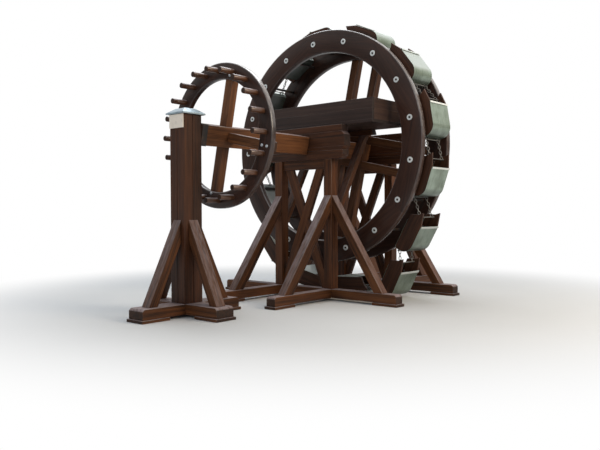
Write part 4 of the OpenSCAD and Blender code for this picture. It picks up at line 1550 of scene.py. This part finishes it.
@dataclass
class Trough:
    """The open box of boards and the bearer under its back."""

    layout: Layout = LAYOUT
    x0: float = -0.88
    x1: float = 1.34
    length: float = 0.965
    height: float = 0.37
    board: float = 0.045
    bearer_h: float = 0.085
    bearer_t: float = 0.11
    bearer_half: float = 0.73
    bearer_flare: float = 0.025
    notch: float = 0.24
    notch_h: float = 0.04
    floor_boards: int = 4
    wall_split: float = 0.52

    @property
    def bearer_y(self) -> float:
        """Front face of the bearer."""
        return self.layout.near_y + self.length - self.bearer_t

    def build(self) -> None:
        """Builds and fits the boards and the bearer."""
        lay, b, count = self.layout, self.board, self.floor_boards
        y0, z0 = lay.near_y, lay.stack_top
        y1, z1 = y0 + self.length, z0 + self.height
        boards = Shop(41)
        for k in range(count):
            ya, yb = y0 + (y1 - y0) * k / count, y0 + (y1 - y0) * (k + 1) / count
            boards.box((self.x0, ya, z0), (self.x1, yb, z0 + b), (1, 0, 0), ROUND_BOARD)
        split = z0 + b + (z1 - z0 - b) * self.wall_split
        for low, high in ((z0 + b, split), (split, z1)):
            for ya in (y0, y1 - b):
                boards.box((self.x0, ya, low), (self.x1, ya + b, high), (1, 0, 0), ROUND_BOARD)
            for xa in (self.x0, self.x1 - b):
                boards.box((xa, y0 + b, low), (xa + b, y1 - b, high), (0, 1, 0), ROUND_BOARD)
        piece = boards.object("trough_boards", STAIN_TROUGH)
        fit(piece, Body.FRAME, Slot.TROUGH, "trough_floor", "trough_sides", "trough_ends")
        bearer = Shop(42)
        low, top, n = z0 - self.bearer_h, self.bearer_half, self.notch
        foot, roof = top + self.bearer_flare, low + self.notch_h
        outline = [(-top, z0), (top, z0), (foot, low), (n, low), (n, roof)]
        outline += [(-n, roof), (-n, low), (-foot, low)]
        face = self.bearer_y
        bearer.prism(Plane.XZ, outline, face, face + self.bearer_t, (1, 0, 0), ROUND_SLIM)
        fit(bearer.object("trough_bearer_timber", STAIN_BEARING), Body.FRAME, Slot.BEARING, "trough_bearer")


@dataclass
class BucketChain:
    """Fourteen buckets of bent sheet between side boards, on two strands of chain.

    A bucket is drawn from its own centre by t, the distance towards its mouth, and by the distance
    outward from the wheel.
    """

    layout: Layout = LAYOUT
    radius: float = 1.92
    start: float = -18.4
    step: float = 28.2
    on_wheel: int = 9
    hanging: tuple[Triple, ...] = (
        (-1.38, -1.74, -50.0),
        (-0.56, -2.265, -13.0),
        (0.37, -2.325, 2.0),
        (1.245, -2.223, 64.0),
        (1.598, -1.487, 61.4),
    )
    width: float = 0.53
    inner: float = 0.1397
    outer: float = 0.13
    mouth: float = 0.245
    bottom: float = 0.27
    corner: float = 0.18
    corner_steps: int = 12
    chamfer: float = 0.034
    side: float = 0.032
    sheet: float = 0.005
    gauge: float = 0.0022
    fold_out: float = 0.011
    fold_in: float = 0.0085
    fold_len: float = 0.028
    nose: Point = (0.45, 0.062)
    throat: float = 0.392
    jaw: float = 0.33
    rod: float = 0.009
    rod_over: float = 0.045
    mouth_rod: float = 0.345
    bottom_rod: float = 0.298
    bottom_in: float = 0.075
    strand_in: float = 0.055
    eye_gap: float = 0.035
    eye_t: float = 0.007
    eye_h: float = 0.016
    eye_back: float = 0.012
    head_r: float = 0.017
    head_t: float = 0.006
    heads: tuple[Point, ...] = ((-0.12, 0.05), (0.12, 0.1), (0.12, -0.09))
    link_clear: float = 0.022
    link_pitch: float = 0.042
    link_len: float = 0.06
    link_w: float = 0.034
    link_bar: float = 0.0052

    def places(self) -> list[Triple]:
        """X, height from the shaft line and mouth angle in degrees of each bucket.

        Returns:
            The places in order round the chain.
        """
        resting = []
        for k in range(self.on_wheel):
            angle = self.start + k * self.step
            a = math.radians(angle)
            resting.append((self.radius * math.cos(a), self.radius * math.sin(a), angle + 90))
        return resting + list(self.hanging)

    @staticmethod
    def point(place: Triple, t: float, r: float) -> Point:
        """X and height from the shaft line of a bucket's point, t towards its mouth, r outward."""
        a = math.radians(place[2])
        return place[0] + t * math.cos(a) + r * math.sin(a), place[1] + t * math.sin(a) - r * math.cos(a)

    def build(self) -> None:
        """Builds the unit pieces, repeats them and fits the results."""
        tree = placed_tree()
        units = (self.side_boards(), self.bent_sheet(), self.rods())
        for unit, name, finish, slot, node in (
            (units[0], "bucket_side_boards", STAIN_BOARD, Slot.STAINED, "bucket_boards"),
            (units[1], "bucket_bent_sheets", ZINC_SHEET, Slot.SHEET, "bucket_sheets"),
            (units[2], "bucket_rods", ZINC_IRON, Slot.IRON, "bucket_chain"),
        ):
            fit(self.spread(tree, unit, name, finish), Body.FRAME, slot, node)
        self.strands()

    def spread(self, tree: Repeater, unit: bpy.types.Object, name: str, finish: Finish) -> bpy.types.Object:
        """Puts a unit piece at all the bucket places.

        Args:
            tree: The tree that places it.
            unit: The unit about its own centre. It is removed.
            name: Name of the piece.
            finish: Its finish.

        Returns:
            The piece.
        """
        places = self.places()
        mesh = bpy.data.meshes.new("places")
        mesh.from_pydata([(x, self.layout.wheel_y, self.layout.shaft_z + z) for x, z, _ in places], [], [])
        lean = mesh.attributes.new("lean", "FLOAT", "POINT")
        lean.data.foreach_set("value", [-math.radians(a) for _, _, a in places])
        values = {"Piece": unit, "Seed": 5, "Material": finish.material()}
        made = tree.run(linked("places", mesh), name, values)
        bpy.data.objects.remove(unit)
        return made

    def section(self, inset: float) -> list[Point]:
        """The sheet's bend, from the outer mouth edge round the bottom to the inner one.

        Args:
            inset: Distance inside the sheet's outer face.

        Returns:
            Points as t and outward distance.
        """
        r, back, floor = self.corner - inset, -self.bottom, -self.inner
        line = [(self.mouth, self.outer - inset)]
        for k in range(self.corner_steps + 1):
            a = math.radians(90 + 90 * k / self.corner_steps)
            line.append((back + self.corner + r * math.cos(a), self.outer - self.corner + r * math.sin(a)))
        line += [(back + inset, floor + self.chamfer), (back + self.chamfer, floor + inset)]
        return [*line, (self.mouth, floor + inset)]

    def side_boards(self) -> bpy.types.Object:
        """The two side boards of one bucket, which end in a nose beyond its mouth.

        Returns:
            The unit piece.
        """
        wood = Shop(51)
        bend = self.section(self.sheet)
        outline = [self.nose, *bend[:-1], (self.jaw, self.sheet - self.inner), (self.throat, 0.0)]
        corners = [(t, -r) for t, r in outline]
        for y in (-self.width / 2, self.width / 2 - self.side):
            wood.prism(Plane.XZ, corners, y, y + self.side, (1, 0, 0), ROUND_BOARD)
        return wood.object("unit_boards", STAIN_BOARD)

    def bent_sheet(self) -> bpy.types.Object:
        """The bent sheet of one bucket with its folded mouth edge, darkened inside by painted shade.

        Returns:
            The unit piece.
        """
        metal = Shop(52)
        w, tip = self.width / 2, self.mouth - self.gauge
        outer, inner = self.section(0.0), self.section(self.gauge)
        crest, hem, back = self.outer + self.fold_out, self.outer + self.fold_in, self.mouth - self.fold_len
        fold = [(self.mouth, crest), (back, crest), (back, hem), (tip, hem), (tip, self.outer)]
        line = fold + outer[1:] + inner[::-1]
        bm = bmesh.new()
        ends = [[bm.verts.new((t, y, -r)) for t, r in line] for y in (-w, w)]
        last = len(line) - 1
        # The face towards the wheel, the mouth's edge there and the whole inside carry painted shade
        shaded_inside = set(range(len(fold) + len(outer) - 4, last))
        metal.walls(bm, ends)
        for side in ends:
            bm.faces.new(side)
        bmesh.ops.recalc_face_normals(bm, faces=bm.faces)
        bmesh.ops.triangulate(bm, faces=[f for f in bm.faces if len(f.verts) > 4])
        # The fold's faces and the closing face at the mouth count as cut, and take the painted highlight
        metal.take(bm, metal.grain(Vector(), Vector((1, 0, 0))), shaded_inside, {*range(len(fold) - 1), last})
        return metal.object("unit_sheet", ZINC_SHEET)

    def rods(self) -> bpy.types.Object:
        """The rods of one bucket, the eyes that hold the lower one, and bolt heads inside the boards.

        Returns:
            The unit piece.
        """
        iron = Shop(53)
        w = self.width / 2 - self.side
        short = w - self.strand_in + self.rod_over
        x, z = -self.bottom_rod, self.bottom_in
        iron.turned_round(round_bar(self.rod, -w, w), ROD_SIDES, (self.mouth_rod, 0.0))
        iron.turned_round(round_bar(self.rod, -short, short), ROD_SIDES, (x, z))
        for s in (-1, 1):
            for e in (-self.eye_gap, self.eye_gap):
                y = s * (w - self.strand_in) + e
                low = (x - self.eye_back, y - self.eye_t, z - self.eye_h)
                high = (-self.bottom, y + self.eye_t, z + self.eye_h)
                iron.box(low, high, (1, 0, 0), ROUND_BOARD)
            flat = sorted((s * (w - self.head_t), s * w))
            for place in ((self.mouth_rod, 0.0), *self.heads):
                iron.turned_round(round_bar(self.head_r, *flat), NUT_SIDES, place)
        return iron.object("unit_rods", ZINC_IRON)

    def strands(self) -> None:
        """The chain strands between neighbouring buckets."""
        lay, places = self.layout, self.places()
        inset = self.width / 2 - self.side - self.strand_in
        points: list[Triple] = []
        for place, after in zip(places, places[1:] + places[:1]):
            start = self.point(place, self.mouth_rod, 0.0)
            end = self.point(after, -self.bottom_rod, -self.bottom_in)
            for s in (-1, 1):
                y = lay.wheel_y + s * inset
                a = Vector((start[0], y, lay.shaft_z + start[1]))
                b = Vector((end[0], y, lay.shaft_z + end[1]))
                step = (b - a).normalized() * self.link_clear
                points += [tuple(a + step), tuple(b - step)]
        mesh = bpy.data.meshes.new("strands")
        mesh.from_pydata(points, [(k, k + 1) for k in range(0, len(points), 2)], [])
        values = {"Pitch": self.link_pitch, "Length": self.link_len, "Width": self.link_w}
        values |= {"Bar": self.link_bar, "Material": ZINC_IRON.material()}
        made = chain_tree().run(linked("strands", mesh), "bucket_chain_links", values)
        fit(made, Body.FRAME, Slot.IRON)


@dataclass
class ShaftTimber:
    """The square shaft with its journals, end pin and iron band."""

    layout: Layout = LAYOUT
    journal: float = 0.1025
    pin: float = 0.055
    gap: float = 0.008
    bore_depth: float = 0.215
    tail: float = 0.06
    tail_chamfer: float = 0.006
    edge: float = 0.008
    band_w: float = 0.095
    band_t: float = 0.006

    def build(self) -> None:
        """Builds and fits the shaft and its irons."""
        lay = self.layout
        s, g, half = lay.shaft_side / 2, self.gap, lay.stack_d / 2
        start = lay.post_y + lay.post_depth / 2 + g
        near, far = lay.near_y, lay.far_y
        wood = Shop(61)
        for y0, y1 in ((start, near - half - g), (near + half + g, far - half - g)):
            wood.box((-s, y0, -s), (s, y1, s), (0, 1, 0), self.edge)
        r, c = self.journal, self.tail_chamfer
        for y0, y1 in ((near - half - g, near + half + g), (far - half - g, far + half + g + self.tail)):
            wood.turned_round([(0, y0), (r, y0), (r, y1 - c), (r - c, y1), (0, y1)], SHAFT_SIDES)
        place = wheel_place(lay)
        fit(wood.object("shaft_timber", STAIN_SHAFT, place), Body.WHEELWORK, Slot.STAINED, "shaft")
        iron = Shop(62)
        iron.turned_round(round_bar(self.pin, start - self.bore_depth, start), SHAFT_SIDES)
        self.band(iron, start)
        fit(iron.object("shaft_irons", IRON_DARK, place), Body.WHEELWORK, Slot.DARK, "shaft_band")

    def band(self, iron: Shop, y: float) -> None:
        """One square iron band.

        Args:
            iron: Collects the solid.
            y: Its front edge.
        """
        s, t, w = self.layout.shaft_side / 2, self.band_t, self.band_w
        for low, high in (
            ((-s - t, y, s), (s + t, y + w, s + t)),
            ((-s - t, y, -s - t), (s + t, y + w, -s)),
            ((s, y, -s), (s + t, y + w, s)),
            ((-s - t, y, -s), (-s, y + w, s)),
        ):
            iron.box(low, high, (1, 0, 0), 0.0)


@dataclass
class PegWheel:
    """The driving wheel: rim of curved segments, spokes behind it, pegs and bolts."""

    layout: Layout = LAYOUT
    front: float = 0.61
    rim_t: float = 0.085
    rim_edge: float = 0.014
    outer: float = 1.04
    inner: float = 0.805
    pegs: int = 20
    circle: float = 0.921
    peg_r: float = 0.04
    peg_len: float = 0.256
    peg_tip: tuple[Point, ...] = ((0.008, 0.0), (0.0025, 0.003), (0.0, 0.01))
    phase: float = math.radians(0.8)
    spoke_w: float = 0.14
    spoke_d: float = 0.125
    spoke_seat: float = 0.045
    spoke_short: float = 0.04
    segments: int = 6
    bolt_r: float = 0.023
    bolt_dome: tuple[Point, ...] = ((0.0, 0.016), (0.6, 0.0145), (0.92, 0.008), (1.0, 0.0))
    nut_t: float = 0.012
    bolt_places: tuple[Point, ...] = (
        (3, 0.865), (90, 0.872), (90, 0.965), (180, 0.835), (270, 0.872), (270, 0.965),
    )

    def build(self, radial: Repeater) -> None:
        """Builds and fits the pieces.

        Args:
            radial: The tree that repeats pieces around the shaft line.
        """
        lay = self.layout
        y = lay.post_y + self.front
        place = wheel_place(lay)
        values = {"Height": lay.shaft_z, "Seed": 3}
        rim = Shop(71)
        step = 2 * math.pi / self.segments
        rim.felloe(self.inner, self.outer, y, y + self.rim_t, step, self.rim_edge)
        unit = rim.object("unit_rim", STAIN_WHEEL)
        values |= {"Count": self.segments, "Phase": lay.turn + step / 2, "Material": STAIN_WHEEL.material()}
        fit(radial.run(unit, "peg_wheel_rim", values), Body.WHEELWORK, Slot.WHEEL, "peg_rim")
        spokes = Shop(72)
        back = y + self.rim_t - self.spoke_seat
        w, hub, end = self.spoke_w / 2, lay.shaft_side / 2, self.outer - self.spoke_short
        corners = oblong((-w, hub), (w, end))
        for k in range(4):
            a = k * math.pi / 2
            along = (math.sin(a), 0, math.cos(a))
            spokes.prism(Plane.XZ, turned(corners, a), back, back + self.spoke_d, along, ROUND_BEAM)
        fit(spokes.object("peg_wheel_spokes", STAIN_SHAFT, place), Body.WHEELWORK, Slot.WHEEL, "peg_spokes")
        peg = Shop(73)
        r, tip = self.peg_r, y - self.peg_len
        profile = [(0, tip), *((r - inset, tip + deep) for inset, deep in self.peg_tip), (r, y), (0, y)]
        peg.turned_round(profile, PEG_SIDES, (0.0, self.circle))
        unit = peg.object("unit_peg", STAIN_PEG)
        values |= {"Count": self.pegs, "Phase": self.phase, "Material": STAIN_PEG.material()}
        fit(radial.run(unit, "peg_set", values), Body.WHEELWORK, Slot.PEG, "pegs")
        self.bolts(y, place)

    def bolts(self, y: float, place: Matrix) -> None:
        """Bolt heads on the rim, and their nuts behind the spokes.

        Args:
            y: Front face of the rim.
            place: The turned place of the wheel.
        """
        iron = Shop(74)
        r = self.bolt_r
        back = y + self.rim_t - self.spoke_seat + self.spoke_d
        dome = [(r * share, y - rise) for share, rise in self.bolt_dome]
        for degrees, reach in self.bolt_places:
            angle = math.radians(degrees)
            spot = (reach * math.sin(angle), reach * math.cos(angle))
            iron.turned_round([*dome, (0, y)], PIN_SIDES, spot)
            iron.turned_round(round_bar(r, back, back + self.nut_t), NUT_SIDES, spot)
        fit(iron.object("peg_wheel_bolts", ZINC_BOLT, place), Body.WHEELWORK, Slot.IRON, "peg_bolts")


@dataclass
class RingWheel:
    """The double ring wheel that carries the buckets, with its pins, arms and wedges."""

    layout: Layout = LAYOUT
    outer: float = 1.95
    inner: float = 1.576
    pins: int = 17
    circle: float = 1.76
    pin_r: float = 0.02
    phase: float = math.radians(-6)
    washer_r: float = 0.046
    hole_r: float = 0.0215
    washer_t: float = 0.009
    washer_edge: float = 0.002
    washer_floor: float = 0.001
    nut_r: float = 0.016
    nut_proud: float = 0.005
    rim_edge: float = 0.018
    arm_offset: float = 0.225
    arm_w: float = 0.14
    arm_d: float = 0.15
    arm_seat: float = 0.06
    reach: float = 1.87
    wedge_w: float = 0.14
    segments: int = 8

    def build(self, radial: Repeater) -> None:
        """Builds and fits the pieces.

        Args:
            radial: The tree that repeats pieces around the shaft line.
        """
        lay = self.layout
        step = 2 * math.pi / self.segments
        for name, node, y, seed, half in (
            ("front_ring_segments", "front_ring", lay.front_ring_y, 81, 0.0),
            ("back_ring_segments", "back_ring", lay.back_ring_y, 82, 0.5),
        ):
            rim = Shop(seed)
            rim.felloe(self.inner, self.outer, y, y + lay.ring_t, step, self.rim_edge)
            unit = rim.object("unit_ring", STAIN_WHEEL)
            values = {"Count": self.segments, "Phase": lay.turn + step * half, "Height": lay.shaft_z}
            values |= {"Seed": seed, "Material": STAIN_WHEEL.material()}
            fit(radial.run(unit, name, values), Body.WHEELWORK, Slot.WHEEL, node)
        self.fittings(radial)
        self.arms()

    def fittings(self, radial: Repeater) -> None:
        """Cross pins between the rings, and the washers and nuts on both faces.

        Args:
            radial: The tree that repeats pieces around the shaft line.
        """
        lay = self.layout
        front, back = lay.front_ring_y, lay.back_ring_y + lay.ring_t
        spot = (0.0, self.circle)
        pin, washer, nut = Shop(83), Shop(84), Shop(85)
        pin.turned_round(round_bar(self.pin_r, front + lay.ring_t, lay.back_ring_y), PIN_SIDES, spot)
        r, h, edge = self.washer_r, self.hole_r, self.washer_edge
        for face, out in ((front, -1), (back, 1)):
            rim, floor = face + out * self.washer_t, face + out * self.washer_floor
            profile = [(0, face), (r, face), (r, rim - out * edge), (r - edge, rim)]
            profile += [(h, rim), (h, floor), (0, floor)]
            washer.turned_round(profile, WASHER_SIDES, spot)
            nut.turned_round(round_bar(self.nut_r, floor, rim + out * self.nut_proud), NUT_SIDES, spot)
        for shop, unit, finish, name, slot, node in (
            (pin, "unit_pin", IRON_DARK, "ring_pins", Slot.DARK, "cross_pins"),
            (washer, "unit_washer", ZINC_WASHER, "ring_washers", Slot.SHEET, "pin_washers"),
            (nut, "unit_nut", IRON_DARK, "ring_nuts", Slot.DARK, "pin_ends"),
        ):
            values = {"Count": self.pins, "Phase": self.phase, "Height": lay.shaft_z, "Seed": 4}
            made = radial.run(shop.object(unit, finish), name, {**values, "Material": finish.material()})
            fit(made, Body.WHEELWORK, slot, node)

    def arms(self) -> None:
        """The paired arms behind the back ring, halved where they cross, and their wedges."""
        lay = self.layout
        y0 = lay.back_ring_y + lay.ring_t - self.arm_seat
        mid, y1 = y0 + self.arm_d / 2, y0 + self.arm_d
        half = math.sqrt(self.reach**2 - self.arm_offset**2)
        w, o = self.arm_w / 2, self.arm_offset
        place = wheel_place(lay)
        for name, node, plane, along, seed in (
            ("upright_arm_pair", "upright_arms", Plane.YZ, (0, 0, 1), 86),
            ("level_arm_pair", "level_arms", Plane.XY, (1, 0, 0), 87),
        ):
            upright = plane is Plane.YZ
            plain, notch = (y0, y1) if upright else (y1, y0)
            line = [(-half, plain), (half, plain), (half, notch)]
            for outer, inner in ((o + w, o - w), (-o + w, -o - w)):
                line += [(outer, notch), (outer, mid), (inner, mid), (inner, notch)]
            line.append((-half, notch))
            outline = [(y, z) for z, y in line] if upright else line
            wood = Shop(seed)
            for s in (-1, 1):
                wood.prism(plane, outline, s * o - w, s * o + w, along, ROUND_SLIM)
            fit(wood.object(name, STAIN_SHAFT, place), Body.WHEELWORK, Slot.WHEEL, node)
        wedge = Shop(88)
        corners = oblong((-self.wedge_w / 2, lay.shaft_side / 2), (self.wedge_w / 2, o - w))
        for k in range(4):
            wedge.prism(Plane.XZ, turned(corners, k * math.pi / 2), y0, y1, (0, 1, 0), ROUND_FINE)
        fit(wedge.object("arm_wedge_set", STAIN_PEG, place), Body.WHEELWORK, Slot.PEG, "arm_wedges")


@dataclass
class Studio:
    """Floor, light and camera, whose eye is measured from the ground under the near journal."""

    layout: Layout = LAYOUT
    focal_px: float = 673.25
    azimuth: float = math.radians(41.03)
    drop: float = math.radians(1.332)
    roll: float = math.radians(-0.194)
    eye: Triple = (7.216, -8.4309, 1.446)
    sensor: float = 36.0
    view_depth: float = 200.0
    aim: Triple = (0.0, 0.3, 1.8)
    floor_size: float = 60.0
    ambient: float = 0.42
    horizon: float = 0.14

    def build(self) -> None:
        """Makes the floor, the lamps, the world and the camera."""
        self.floor()
        self.lamps()
        self.world()
        self.camera()
        scene = bpy.context.scene
        scene.view_settings.view_transform = "Standard"

    def floor(self) -> None:
        """The plain pale floor."""
        h = self.floor_size
        mesh = bpy.data.meshes.new("floor")
        mesh.from_pydata([(-h, -h, 0), (h, -h, 0), (h, h, 0), (-h, h, 0)], [], [(0, 1, 2, 3)])
        mesh.materials.append(Ground("floor_pale").material())
        linked("floor", mesh)

    def lamps(self) -> None:
        """A soft warm lamp from the right, a broad cool one from above, and a weak one in front."""
        aim = Vector(self.aim)
        for name, place, size, power, colour in (
            ("key", (11.0, 1.5, 6.5), 5.0, 780.0, (1.0, 0.84, 0.64)),
            ("top", (-2.0, 2.0, 12.0), 9.0, 1100.0, (0.92, 0.96, 1.0)),
            ("front", (3.0, -12.0, 5.0), 8.0, 260.0, (0.95, 0.97, 1.0)),
        ):
            lamp = bpy.data.lights.new(name, "AREA")
            lamp.shape = "SQUARE"
            lamp.size = size
            lamp.energy = power
            lamp.color = colour
            holder = linked(name, lamp)
            holder.location = place
            holder.rotation_euler = (aim - Vector(place)).to_track_quat("-Z", "Y").to_euler()

    def world(self) -> None:
        """A pale world, white behind the object and, above a dim band at the horizon, in its shine."""
        world = bpy.data.worlds.new("studio")
        world.use_nodes = True
        world.node_tree.nodes.clear()
        graph = Graph(world.node_tree)
        seen, shine = graph.rays()
        open_sky = graph.part(graph.out("ShaderNodeTexCoord", "Generated"), 2).between(0.1, 0.3)
        colour = graph.mix((seen + shine).clamp(), PALE_SKY, WHITE)
        mirrored = open_sky * (1 - self.horizon) + (self.horizon - self.ambient)
        strength = seen * (1 - self.ambient) + shine * mirrored + self.ambient
        sky = graph.out("ShaderNodeBackground", sockets={"Color": colour, "Strength": strength})
        graph.node("ShaderNodeOutputWorld", None, {"Surface": sky})
        bpy.context.scene.world = world

    def camera(self) -> None:
        """The camera at the photograph's place and angle."""
        data = bpy.data.cameras.new("camera")
        data.sensor_width = self.sensor
        data.sensor_fit = "HORIZONTAL"
        data.lens = self.sensor * self.focal_px / IMAGE_WIDTH
        data.clip_end = self.view_depth
        a, e, r = self.azimuth, self.drop, self.roll
        back = Vector((math.sin(a) * math.cos(e), -math.cos(a) * math.cos(e), math.sin(e)))
        right = Vector((math.cos(a), math.sin(a), 0))
        up = back.cross(right)
        side = right * math.cos(r) + up * math.sin(r)
        top = up * math.cos(r) - right * math.sin(r)
        turn = Matrix((side, top, back)).transposed().to_4x4()
        camera = linked("camera", data)
        place = Vector(self.eye) + Vector((0, self.layout.near_y, 0))
        camera.matrix_world = Matrix.Translation(place) @ turn
        bpy.context.scene.camera = camera


def main() -> None:
    """Builds the dressed water wheel."""
    logging.basicConfig(level=logging.INFO, format="%(name)s %(message)s")
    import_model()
    Studio().build()
    PostStand().build()
    Trestles().build()
    BearingStacks().build()
    Trough().build()
    BucketChain().build()
    ShaftTimber().build()
    radial = radial_tree()
    PegWheel().build(radial)
    RingWheel().build(radial)
    bpy.context.view_layer.update()


if __name__ == "__main__":
    main()
